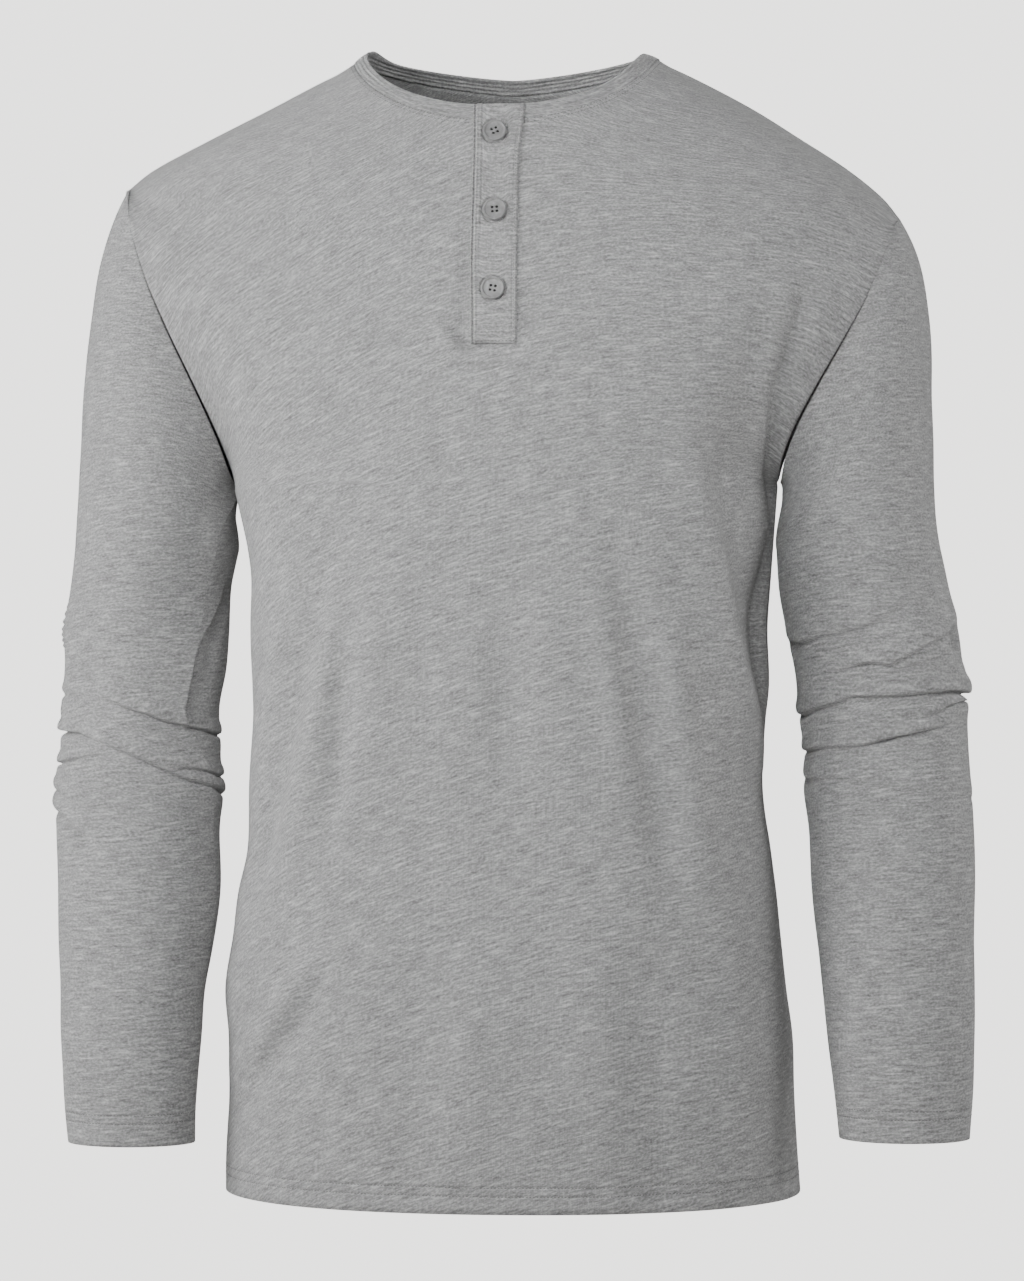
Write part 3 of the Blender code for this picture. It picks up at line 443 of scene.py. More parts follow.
# The grid of a body panel in rows: below the underarm, along the armhole, along the shoulder, and
# how many below the shoulder start to fan out to the neck; then the faces to a row, and the columns
# over half the slit and beside it. Above the underarm the grid is smoothed outside a strip in the
# middle.
LOW_ROWS = 14
ARMHOLE_ROWS = 10
SHOULDER_ROWS = 6
FAN_ROWS = 3
ALL_ROWS = LOW_ROWS + ARMHOLE_ROWS + SHOULDER_ROWS
PARTS_A_ROW = 7
SLOT_COLUMNS = 5
SIDE_COLUMNS = 62
SMOOTHING_PASSES = 120
SMOOTH_FROM_X = 0.03

# The grid of a sleeve: columns round it, rings of the cap, and the elbow, where the rings below the
# cap lie closer together.
SLEEVE_AROUND = 128
CAP_RINGS = 64
ELBOW = (-0.505, -0.335)
ELBOW_STEP = 0.8 * MM
LEVEL_STEP = 3.0 * MM

# Steps at which the body's surface is read for its slope, and the closest that two corners of a
# sleeve's grid may lie.
SLOPE_STEP = 5 * MM
FOLD_SLOPE_STEP = 2 * MM
CLOSEST_CORNERS = 0.4 * MM

# Twin rows of stitches above an edge, and one stitch: its length, the pitch, the thread's width and
# how much flatter it is, and how deep it is pulled in.
HEM_ROWS = (10.7 * MM, 16.0 * MM)
CUFF_ROWS = (14.0 * MM, 19.0 * MM)
STITCH_LENGTH = 1.5 * MM
STITCH_PITCH = 2.1 * MM
THREAD_WIDTH = 0.42 * MM
THREAD_FLATNESS = 1.2
STITCH_SUNK = 0.02 * MM

# A tuck's form in widths of the tuck: place above the crease, half width and depth. The cloth above
# rolls out and hangs over a sharp crease, and slips down. A valley has a soft lip above it.
TUCK_SINK = ((0.0, 0.25, 1.0), (0.8, 0.55, -0.7), (-1.1, 0.8, -0.15))
TUCK_SLIP = ((0.6, 0.4, 0.75),)
VALLEY_SINK = ((0.0, 1.0, 1.0), (2.2, 1.3, -0.4))

# The cloth's uneven ground: size and height of the unevenness, and a place in the noise.
BODY_GROUND = (45 * MM, 0.7 * MM, 2.0)
SLEEVE_GROUND = (38 * MM, 0.8 * MM, 5.0)
LEAF_GROUND = (7 * MM, 0.22 * MM, 9.0)
GROUND_FADE_X = 0.04

# Slant of the courses on the cloth, as a rise for each metre across. Those of the front climb
# steeply from the wearer's right and level out on the left.
FRONT_SLANT = 0.30
FRONT_SLANT_BEND = -0.55
BACK_SLANT = 0.05
SLEEVE_SLANT = 0.06


def smooth_curve(rows, column=1):
    """A smooth curve through one column of a table, as a function of its first column."""
    points = sorted((row[0], row[column]) for row in rows)
    keys = [point[0] for point in points]
    values = [point[1] for point in points]
    last = len(points) - 1
    chords = [(values[i + 1] - values[i]) / (keys[i + 1] - keys[i]) for i in range(last)]
    slopes = [chords[0]] + [(a + b) / 2 for a, b in zip(chords, chords[1:])] + [chords[-1]]

    def value(key):
        i = min(max(bisect.bisect_right(keys, key) - 1, 0), last - 1)
        step = keys[i + 1] - keys[i]
        t = min(max((key - keys[i]) / step, 0.0), 1.0)
        start = (1 + 2 * t) * (1 - t) ** 2 * values[i] + t * (1 - t) ** 2 * step * slopes[i]
        end = t * t * (3 - 2 * t) * values[i + 1] + t * t * (t - 1) * step * slopes[i + 1]
        return start + end

    return value


def smoothstep(t):
    t = min(max(t, 0.0), 1.0)
    return t * t * (3 - 2 * t)


def bell(off, half_width):
    """A smooth bump of height 1 about 0."""
    return math.exp(-(off / half_width) ** 2)


def relief(off, form):
    """The height of bumps beside each other, each given by its place, half width and height."""
    return sum(height * bell(off - place, half_width) for place, half_width, height in form)


SHOULDER_CURVE = {side: smooth_curve(rows) for side, rows in SHOULDER.items()}
SIDE_CURVE = {"right": smooth_curve(SIDE_SEAM, 1), "left": smooth_curve(SIDE_SEAM, 2)}
DEPTH_CURVE = {"front": smooth_curve(BODY_DEPTH, 1), "back": smooth_curve(BODY_DEPTH, 2)}
POWER_CURVE = smooth_curve(BODY_POWER)
INWARD_CURVE = smooth_curve(ARMHOLE_INWARD)
LEAF_GROOVE_X = smooth_curve(LEAF_EDGES, 1)
LEAF_FOLD_X = smooth_curve(LEAF_EDGES, 2)
SLEEVE_INNER = {side: smooth_curve(rows, 1) for side, rows in SLEEVE_SIDES.items()}
SLEEVE_OUTER = {side: smooth_curve(rows, 2) for side, rows in SLEEVE_SIDES.items()}
SLEEVE_MIDDLE = smooth_curve(SLEEVE_DEPTH, 1)
SLEEVE_HALF = smooth_curve(SLEEVE_DEPTH, 2)
SEAM_TURN = {side: smooth_curve(rows, 1) for side, rows in UNDERARM_SEAM.items()}
EDGE_TURN = {side: smooth_curve(rows, 1) for side, rows in SLEEVE_EDGE.items()}
EDGE_DEPTH = {side: smooth_curve(rows, 2) for side, rows in SLEEVE_EDGE.items()}
TIP_Z = {side: rows[-1][0] for side, rows in SHOULDER.items()}
TIP_X = {side: rows[-1][1] for side, rows in SHOULDER.items()}
UNDERARM_X = {side: curve(UNDERARM_Z) for side, curve in SIDE_CURVE.items()}
NECK_X = {side: rows[0][1] for side, rows in SHOULDER.items()}


# The body's form: the same sections as the solids have, read as finely as cloth needs.


def armhole_height(side, way):
    return TIP_Z[side] + (UNDERARM_Z - TIP_Z[side]) * (1 - math.cos(math.pi * way)) / 2


def section_end(side, z):
    """Half width of the body at a height, and how far round the armhole that is."""
    if z >= TIP_Z[side]:
        return SHOULDER_CURVE[side](z), 0.0
    if z <= UNDERARM_Z:
        return SIDE_CURVE[side](z), 0.0
    drop = (TIP_Z[side] - z) / (TIP_Z[side] - UNDERARM_Z)
    way = math.acos(1 - 2 * drop) / math.pi
    return TIP_X[side] + (UNDERARM_X[side] - TIP_X[side]) * INWARD_CURVE(way), way


def rounded_square(turn, power):
    """A point of a rounded square of radius 1, at a turn from the front: sideways and forward."""
    sideways = abs(math.sin(turn))
    forward = abs(math.cos(turn))
    size = (sideways ** power + forward ** power) ** (-1 / power)
    return size * sideways, size * forward


def body_point(panel, side, w, z, way=None):
    """A point of a body section: w runs from 0 in the middle to 1 at the seam."""
    half, way_here = section_end(side, z)
    hollow = math.sin(math.pi * (way_here if way is None else way))
    end_y = ARMHOLE_DEPTH[panel] * hollow
    angle = math.pi / 2 - ARMHOLE_FLATTENING * hollow
    sideways, forward = rounded_square(angle * w, POWER_CURVE(z))
    end_sideways, end_forward = rounded_square(angle, POWER_CURVE(z))
    share = (forward - end_forward) / (1 - end_forward)
    x = SIGN[side] * half * sideways / end_sideways
    return Vector((x, end_y + (DEPTH_CURVE[panel](z) - end_y) * share, z))


def way_to_x(side, x, z):
    """The w at which a section of the body is x away from the middle."""
    half, way = section_end(side, z)
    angle = math.pi / 2 - ARMHOLE_FLATTENING * math.sin(math.pi * way)
    power = POWER_CURVE(z)
    sideways = min(x * rounded_square(angle, power)[0] / half, 1.0)
    forward = (1 - sideways ** power) ** (1 / power)
    return math.atan2(sideways, forward) / angle


def neck_level(panel, turn):
    """How deep the neck seam lies, as a share of its depth in the middle of the panel. In front
    it is a round scoop that levels out at the shoulder, behind a shallow open curve."""
    if panel == "back":
        return 1 - math.sin(turn) ** BACK_NECK_POWER
    deepest = math.hypot(1.0, NECK_SOFTNESS) - NECK_SOFTNESS
    return (math.hypot(math.cos(turn), NECK_SOFTNESS) - NECK_SOFTNESS) / deepest


def neck_seam(panel, side, turn):
    """A point of the neck seam: turn runs from 0 in the middle to a right angle at the shoulder."""
    z = NECK_Z[panel] * neck_level(panel, turn)
    return body_point(panel, side, way_to_x(side, NECK_X[side] * math.sin(turn), z), z)


def row_heights(panel, side, row):
    """Heights of a row of a body panel in the middle and at the seam; a row may be a fraction."""
    upper = ARMHOLE_ROWS + SHOULDER_ROWS
    if row <= LOW_ROWS:
        z = HEM_Z + (UNDERARM_Z - HEM_Z) * row / LOW_ROWS
        return z, z
    middle = UNDERARM_Z + (NECK_Z[panel] - UNDERARM_Z) * (row - LOW_ROWS) / upper
    if row <= LOW_ROWS + ARMHOLE_ROWS:
        return middle, armhole_height(side, 1 - (row - LOW_ROWS) / ARMHOLE_ROWS)
    return middle, TIP_Z[side] * (1 - (row - LOW_ROWS - ARMHOLE_ROWS) / SHOULDER_ROWS)


def panel_point(panel, side, column, row):
    """A grid point of a body panel; the columns count from the middle to the seam."""
    middle_z, seam_z = row_heights(panel, side, row)
    first_turn = math.asin(SLOT_WIDTH / 2 / NECK_X[side])
    if column < SLOT_COLUMNS:
        turn = first_turn * column / SLOT_COLUMNS
        share = 0.0
    else:
        share = (column - SLOT_COLUMNS) / SIDE_COLUMNS
        turn = first_turn + (math.pi / 2 - first_turn) * share
    fan_start = LOW_ROWS + ARMHOLE_ROWS - FAN_ROWS
    fan = smoothstep((row - fan_start) / (ALL_ROWS - fan_start))
    at_top = neck_level(panel, turn)
    level = math.cos(turn) + (at_top - math.cos(turn)) * fan
    z = middle_z + (seam_z - middle_z) * (1 - level)
    first = way_to_x(side, SLOT_WIDTH / 2, z)
    plain = first + (1 - first) * share if column >= SLOT_COLUMNS else first * column / SLOT_COLUMNS
    at_neck = way_to_x(side, NECK_X[side] * math.sin(turn), NECK_Z[panel] * at_top)
    w = plain + (at_neck - plain) * fan
    way = min(max(1 - (row - LOW_ROWS) / ARMHOLE_ROWS, 0.0), 1.0)
    return body_point(panel, side, min(w, 1.0), z, way)


def leaf_point(x, z, out):
    """A point of a placket leaf: the front panel's own point moved out, leaning with the band."""
    side = "left" if x >= 0 else "right"
    neck = neck_seam("front", side, 0.0)
    top = band_point(0.0, 1.0)
    low_z = min(z, neck.z)

    def on_panel(at_x, at_z):
        return body_point("front", side, way_to_x(side, abs(at_x), at_z), at_z)

    here = on_panel(x, low_z)
    upwards = here - on_panel(x, low_z - SLOPE_STEP)
    sideways = on_panel(x + math.copysign(SLOPE_STEP, x), low_z) - here
    normal = upwards.cross(sideways) * math.copysign(1, x)
    lean = (top - neck) * max((z - neck.z) / (top.z - neck.z), 0.0)
    return here + lean - normal.normalized() * out


def band_point(turn, share):
    """A point of the neckband; turn runs from the front over the wearer's left to the back."""
    side = "left" if turn <= math.pi else "right"
    from_front = turn if turn <= math.pi else 2 * math.pi - turn
    panel = "front" if from_front <= math.pi / 2 else "back"
    base = neck_seam(panel, side, from_front if panel == "front" else math.pi - from_front)
    sideways = math.sin(from_front) ** 2
    rise = BAND_HEIGHT_MIDDLE + (BAND_HEIGHT_SIDE - BAND_HEIGHT_MIDDLE) * sideways
    past_shoulder = from_front - math.pi / 2
    for place, spread, height in BAND_HUMPS[side]:
        rise += height * bell(past_shoulder - place, spread)
    lean = BAND_LEAN_MIDDLE + (BAND_LEAN_SIDE - BAND_LEAN_MIDDLE) * sideways
    outwards = Vector((base.x, base.y, 0.0)).normalized()
    slope = Vector((0, 0, rise)) - outwards * lean
    face = (outwards * rise + Vector((0, 0, lean))).normalized()
    return base + slope * share + face * (BAND_BULGE * math.sin(math.pi * share))


def sleeve_section(side, turn, z):
    """A point of a sleeve's level section: turn runs from the outer side over the front."""
    inner = SLEEVE_INNER[side](z)
    outer = SLEEVE_OUTER[side](z)
    x = (inner + outer) / 2 + (outer - inner) / 2 * math.cos(turn)
    y = SLEEVE_MIDDLE(z) - SLEEVE_HALF(z) * math.sin(turn)
    return Vector((SIGN[side] * x, y, z))


def cap_point(side, turn, share):
    """A point of the sleeve cap, from the armhole seam down to the first level section."""
    over_front = turn <= math.pi
    way = turn / math.pi if over_front else 2 - turn / math.pi
    panel = "front" if over_front else "back"
    start = body_point(panel, side, 1.0, armhole_height(side, way), way)
    out = CAP_OUT_UNDERARM + (CAP_OUT_TIP - CAP_OUT_UNDERARM) * (1 - way)
    down = CAP_DOWN_UNDERARM + (CAP_DOWN_TIP - CAP_DOWN_UNDERARM) * (1 - way)
    leave = Vector((SIGN[side] * out,
                    CAP_DEPTH_SHARE * ARMHOLE_DEPTH[panel] * math.sin(math.pi * way), -down))
    end = sleeve_section(side, turn, ARM_TOP_Z)
    drop = start.z - ARM_TOP_Z
    arrive = Vector((SIGN[side] * ARM_TILT[side] * drop, 0.0, -drop))
    t = share
    return ((1 + 2 * t) * (1 - t) ** 2 * start + t * (1 - t) ** 2 * leave
            + t * t * (3 - 2 * t) * end + t * t * (t - 1) * arrive)


class Fold:
    """A soft trough or ridge along a smooth line that runs mostly up and down the body."""

    def __init__(self, half_width, line):
        self.half_width = half_width
        self.place = smooth_curve(line, 1)
        self.depth = smooth_curve(line, 2)
        heights = [point[0] for point in line]
        self.low, self.high = min(heights), max(heights)

    def sink(self, x, z):
        if not self.low <= z <= self.high:
            return 0.0
        run = self.place(z + FOLD_SLOPE_STEP) - self.place(z - FOLD_SLOPE_STEP)
        aside = (x - self.place(z)) / math.hypot(1.0, run / (2 * FOLD_SLOPE_STEP))
        if abs(aside) > 3 * self.half_width:
            return 0.0
        return self.depth(z) * MM * bell(aside, self.half_width)


FOLDS = {panel: [Fold(*row) for row in rows] for panel, rows in BODY_FOLDS.items()}


def body_fold_depth(panel, x, z):
    return sum(fold.sink(x, z) for fold in FOLDS[panel])


def short_way(turn):
    """A turn the short way round, from minus half a turn to half a turn."""
    return (turn + math.pi) % (2 * math.pi) - math.pi


def along_crease(line, angle):
    """Height and depth of a crease at an angle round the arm, or nothing beyond its ends."""
    if angle > line[-1][0]:
        angle -= 360
    for a, b in zip(line, line[1:]):
        if a[0] <= angle < b[0]:
            t = (angle - a[0]) / (b[0] - a[0])
            return a[1] + (b[1] - a[1]) * t, (a[2] + (b[2] - a[2]) * smoothstep(t)) * MM
    return None


def sleeve_fold(side, turn, z):
    """How far the sleeve sinks at a place, and how far it slips down."""
    depth = 0.0
    slip = 0.0
    for width, line in SLEEVE_CREASES[side]:
        crease = along_crease(line, math.degrees(turn))
        if crease and abs(z - crease[0]) < 3 * width:
            off = (z - crease[0]) / width
            depth += crease[1] * relief(off, TUCK_SINK)
            slip += crease[1] * relief(off, TUCK_SLIP)
    for half_width, line in SLEEVE_VALLEYS.get(side, ()):
        valley = along_crease(line, math.degrees(turn))
        if valley:
            depth += valley[1] * relief((z - valley[0]) / half_width, VALLEY_SINK)
    for angle, height, fall, spread, half_width, deepest in SLEEVE_HOLLOWS[side]:
        round_arm = short_way(turn - math.radians(angle))
        fade = smoothstep(HOLLOW_FADE * (1 - abs(round_arm) / math.radians(spread)))
        depth += deepest * bell(z - height - fall * round_arm, half_width) * fade
    edge = SLEEVE_EDGE.get(side)
    if edge and edge[-1][0] < z < edge[0][0]:
        past = (turn - math.radians(EDGE_TURN[side](z))) * SLEEVE_RADIUS
        side_plane = (smoothstep(past / EDGE_SOFTNESS + 0.5)
                      * (1 - smoothstep((past - SIDE_PLANE) / SIDE_PLANE_FADE)))
        rolled = EDGE_ROLL * bell(past + EDGE_ROLL_WIDTH, EDGE_ROLL_WIDTH)
        depth += EDGE_DEPTH[side](z) * MM * (side_plane - rolled)
    return depth, slip


# Cloth grids.


def cloth_grid(columns, rows, place):
    """A grid of faces placed by column and row, and its corners by column and row."""
    bm = bmesh.new()
    bmesh.ops.create_grid(bm, x_segments=columns, y_segments=rows, size=1.0)
    lattice = {}
    for vert in bm.verts:
        key = (round((vert.co.x + 1) / 2 * columns), round((vert.co.y + 1) / 2 * rows))
        lattice[key] = vert
    for key, vert in lattice.items():
        vert.co = place(*key)
    bm.normal_update()
    return bm, lattice


def lay_cloth_uv(bm, lattice, columns, rows, grain=lambda u: 0.0):
    """Lengths along the cloth as UV: "cloth" from the middle column and the bottom edge, and
    "grain" with the courses tilted as the cloth hangs."""
    middle = columns // 2
    lengths = {}
    for row in range(rows + 1):
        lengths[lattice[middle, row]] = [0.0, 0.0]
        for step, last in ((1, columns), (-1, 0)):
            u = 0.0
            for column in range(middle, last, step):
                here = lattice[column, row]
                beyond = lattice[column + step, row]
                u += step * (beyond.co - here.co).length
                lengths[beyond] = [u, 0.0]
    for column in range(columns + 1):
        v = 0.0
        for row in range(rows):
            v += (lattice[column, row + 1].co - lattice[column, row].co).length
            lengths[lattice[column, row + 1]][1] = v
    plain = bm.loops.layers.uv.new("cloth")
    tilted = bm.loops.layers.uv.new("grain")
    for face in bm.faces:
        for loop in face.loops:
            u, v = lengths[loop.vert]
            loop[plain].uv = (u, v)
            loop[tilted].uv = (u, v - grain(u))


def ripple(point, size, height, seed):
    """Soft uneven ground of the cloth."""
    return height * noise.noise(Vector(point) / size + Vector((seed, 0, 0)))


def mesh_from(bm, name):
    """The shape as a mesh; the bmesh is done with."""
    mesh = bpy.data.meshes.new(name)
    bm.to_mesh(mesh)
    bm.free()
    return mesh


def add_object(name, data):
    made = bpy.data.objects.new(name, data)
    bpy.context.scene.collection.objects.link(made)
    return made


def finish_cloth(bm, name, wall, made_of, *nodes):
    """Turns the faces into a piece of cloth with a wall inside them, riding in its node's place."""
    mesh = mesh_from(bm, name)
    mesh.shade_smooth()
    mesh.materials.append(made_of)
    piece = add_object(name, mesh)
    if wall:
        solidify = piece.modifiers.new("wall", "SOLIDIFY")
        solidify.thickness = wall
        solidify.offset = -1.0
    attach(piece, "root")
    if nodes:
        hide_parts(*nodes)
    return piece


# Finishes.


def linear(colour):
    """A colour given as sRGB hex, turned linear."""
    parts = (int(colour[i:i + 2], 16) / 255 for i in (1, 3, 5))
    return (*(p / 12.92 if p <= 0.04045 else ((p + 0.055) / 1.055) ** 2.4 for p in parts), 1.0)


def add_node(tree, kind, links=(), stops=(), **settings):
    """A node with its settings by name and its inputs linked or set by name, and for a ramp its
    places and colours."""
    node = tree.nodes.new(kind)
    for name, value in settings.items():
        setattr(node, name, value)
    for socket, source in dict(links).items():
        if isinstance(source, bpy.types.NodeSocket):
            tree.links.new(source, node.inputs[socket])
        else:
            node.inputs[socket].default_value = source
    for number, (place, colour) in enumerate(stops):
        elements = node.color_ramp.elements
        element = elements[number] if number < len(elements) else elements.new(place)
        element.position = place
        element.color = linear(colour)
    return node


def new_material(name, finish):
    """A material with its shader's own values set by name."""
    made = bpy.data.materials.new(name)
    made.use_nodes = True
    shader = made.node_tree.nodes["Principled BSDF"]
    for socket, value in finish.items():
        shader.inputs[socket].default_value = value
    return made, made.node_tree, shader


def heather_jersey(name, stitch_rows=(), groove_depth=1.0):
    """Slub cotton single jersey from grey melange yarn: uneven thick and thin yarn gives short
    light and dark streaks along the courses, on a matt, slightly hairy face."""
    made, tree, shader = new_material(name, {
        "Roughness": 0.93, "Sheen Weight": 0.25, "Sheen Roughness": 0.6, "Specular IOR Level": 0.2})
    grain = add_node(tree, "ShaderNodeUVMap", uv_map="grain").outputs["UV"]
    cloth = add_node(tree, "ShaderNodeUVMap", uv_map="cloth").outputs["UV"]

    def streaks(along, across, seed):
        place = add_node(tree, "ShaderNodeMapping", {
            "Vector": grain, "Scale": (1 / along, 1 / across, 1.0), "Location": (seed, seed, 0.0)})
        return add_node(tree, "ShaderNodeTexNoise", {
            "Vector": place.outputs["Vector"], "Scale": 1.0, "Detail": 2.0,
            "Roughness": 0.6}).outputs["Fac"]

    # Slubs of the yarn, its mixed fibres, drawn longer than they are so that they show, and the
    # unevenness of the dye.
    slubs = streaks(13 * MM, 1.8 * MM, 3.1)
    fibres = streaks(2.1 * MM, 1.25 * MM, 7.7)
    cloud = streaks(42 * MM, 16 * MM, 1.3)
    base = add_node(tree, "ShaderNodeValToRGB", {"Fac": slubs}, (
        (0.30, "#626262"), (0.44, "#8c8c8c"), (0.56, "#a0a0a0"), (0.72, "#d8d8d8")))
    flecks = add_node(tree, "ShaderNodeValToRGB", {"Fac": fibres}, (
        (0.30, "#666666"), (0.5, "#959595"), (0.70, "#cfcfcf")))
    mixed = add_node(tree, "ShaderNodeMix", {
        0: 0.5, 6: base.outputs["Color"], 7: flecks.outputs["Color"]}, data_type="RGBA")
    shade = add_node(tree, "ShaderNodeMapRange", {
        "Value": cloud, "From Min": 0.3, "From Max": 0.7, "To Min": 0.93, "To Max": 1.07})
    toned = add_node(tree, "ShaderNodeVectorMath", {
        0: mixed.outputs[2], "Scale": shade.outputs["Result"]}, operation="SCALE")
    tree.links.new(toned.outputs["Vector"], shader.inputs["Base Color"])

    # Rounded wales of the knit, drawn 1 mm wide, coarser than the real 0.7 mm, so that they show.
    # A wave of this scale repeats once a unit.
    wales = add_node(tree, "ShaderNodeMapping", {
        "Vector": cloth, "Scale": (1 / (1.0 * MM), 1 / (1.0 * MM), 1.0)})
    rib = add_node(tree, "ShaderNodeTexWave", {
        "Vector": wales.outputs["Vector"], "Scale": 0.314, "Distortion": 1.2, "Detail": 1.0},
        bands_direction="X")
    height = add_node(tree, "ShaderNodeMath", {0: slubs, 1: 1.6}, operation="MULTIPLY")
    total = add_node(tree, "ShaderNodeMath", {
        0: rib.outputs["Fac"], 1: 0.35, 2: height.outputs[0]},
        operation="MULTIPLY_ADD").outputs[0]
    if stitch_rows:
        up = add_node(tree, "ShaderNodeSeparateXYZ", {"Vector": cloth}).outputs["Y"]
    for row in stitch_rows:
        # Each row of stitches pulls a soft groove into the cloth, 1.6 mm wide to each side.
        off = add_node(tree, "ShaderNodeMath", {0: up, 1: row}, operation="SUBTRACT")
        near = add_node(tree, "ShaderNodeMath", {0: off.outputs[0]}, operation="ABSOLUTE")
        groove = add_node(tree, "ShaderNodeMapRange", {
            "Value": near.outputs[0], "From Min": 0.0, "From Max": 1.6 * MM,
            "To Min": -3.4 * groove_depth, "To Max": 0.0}, interpolation_type="SMOOTHSTEP")
        total = add_node(tree, "ShaderNodeMath", {0: total, 1: groove.outputs["Result"]},
                         operation="ADD").outputs[0]
    bump = add_node(tree, "ShaderNodeBump", {
        "Height": total, "Strength": 0.55, "Distance": 0.35 * MM})
    tree.links.new(bump.outputs["Normal"], shader.inputs["Normal"])
    return made


def mottled(name, grain, stops, finish):
    """A material whose colour runs through its stops in a noise on the piece's own place."""
    made, tree, shader = new_material(name, finish)
    place = add_node(tree, "ShaderNodeTexCoord").outputs["Object"]
    noisy = add_node(tree, "ShaderNodeTexNoise", {"Vector": place, **grain})
    colour = add_node(tree, "ShaderNodeValToRGB", {"Fac": noisy.outputs["Fac"]}, stops)
    tree.links.new(colour.outputs["Color"], shader.inputs["Base Color"])
    return made


def spun_thread(name, dark, light):
    """Spun polyester sewing thread: matt and twisted, and darker than the cloth: its dark greys are
    partly painted shade where it sinks into the cloth or into a button's holes.
    """
    return mottled(name, {"Scale": 1 / (0.8 * MM)}, ((0.3, dark), (0.7, light)),
                   {"Roughness": 0.7, "Sheen Weight": 0.2})


def moulded_polyester(name):
    """Cast polyester button, tumbled to a satin: faint clouds of paler grey in a mid grey."""
    return mottled(name, {"Scale": 1 / (5 * MM), "Detail": 3.0, "Distortion": 0.8},
                   ((0.3, "#7b7b7b"), (0.55, "#8a8a8a"), (0.75, "#9c9c9c")),
                   {"Roughness": 0.42, "Coat Weight": 0.15, "Coat Roughness": 0.3})


def studio_paint(name):
    """Matt painted studio floor with a faint roller grain."""
    return mottled(name, {"Scale": 6.0}, ((0.3, "#dcdbd9"), (0.7, "#e2e1df")), {"Roughness": 0.9})


# Pieces.


def slanted_courses(u):
    """How high the courses of the front lie at a length across it."""
    return FRONT_SLANT * u + FRONT_SLANT_BEND * u * u


def make_panel(panel, made_of, grain):
    """The front or the back, with its folds pressed in and its seams pulled in."""
    half = SLOT_COLUMNS + SIDE_COLUMNS
    columns = 2 * half
    rows = ALL_ROWS * PARTS_A_ROW
    first_side, second_side = ("right", "left") if panel == "front" else ("left", "right")

    def place(column, row):
        side = first_side if column < half else second_side
        return panel_point(panel, side, abs(column - half), row / PARTS_A_ROW)

    bm, lattice = cloth_grid(columns, rows, place)
    lay_cloth_uv(bm, lattice, columns, rows, grain)
    if panel == "front":
        # The slit that the placket closes.
        slot = [face for face in bm.faces
                if abs(face.calc_center_median().x) < SLOT_WIDTH / 2
                and face.calc_center_median().z > SLOT_FOOT_Z]
        bmesh.ops.delete(bm, geom=slot, context="FACES")
    soft = [vert for vert in bm.verts if not vert.is_boundary
            and abs(vert.co.x) > SMOOTH_FROM_X and vert.co.z > UNDERARM_Z]
    for _ in range(SMOOTHING_PASSES):
        bmesh.ops.smooth_vert(bm, verts=soft, factor=0.5, use_axis_x=True, use_axis_y=True,
                              use_axis_z=True)
    bm.normal_update()
    moves = []
    for (column, row), vert in lattice.items():
        if not vert.is_valid:
            continue
        to_seam = min(column, columns - column)
        fade = smoothstep(to_seam / FOLD_FADE_COLUMNS)
        sink = body_fold_depth(panel, vert.co.x, vert.co.z) * fade
        sink -= ripple(vert.co, *BODY_GROUND) * fade * smoothstep(abs(vert.co.x) / GROUND_FADE_X)
        if row > LOW_ROWS * PARTS_A_ROW:
            sink += ARMHOLE_HOLLOW * (1 - smoothstep(to_seam / ARMHOLE_FADE_COLUMNS))
        elif to_seam == 0:
            sink += SIDE_SEAM_SINK
        moves.append((vert, vert.normal * sink))
    for vert, move in moves:
        vert.co -= move
    surface = BVHTree.FromBMesh(bm)
    piece = finish_cloth(bm, f"{panel}_cloth", CLOTH, made_of, panel)
    return piece, surface


def sleeve_levels(side):
    """Heights of a sleeve's level rings, from the cuff up, close together at the elbow."""
    runs = ((CUFF_Z[side], ELBOW[0], LEVEL_STEP), (ELBOW[0], ELBOW[1], ELBOW_STEP),
            (ELBOW[1], ARM_TOP_Z, LEVEL_STEP))
    levels = []
    for low, high, step in runs:
        count = round((high - low) / step)
        levels += [low + (high - low) * k / count for k in range(count)]
    return levels + [ARM_TOP_Z]


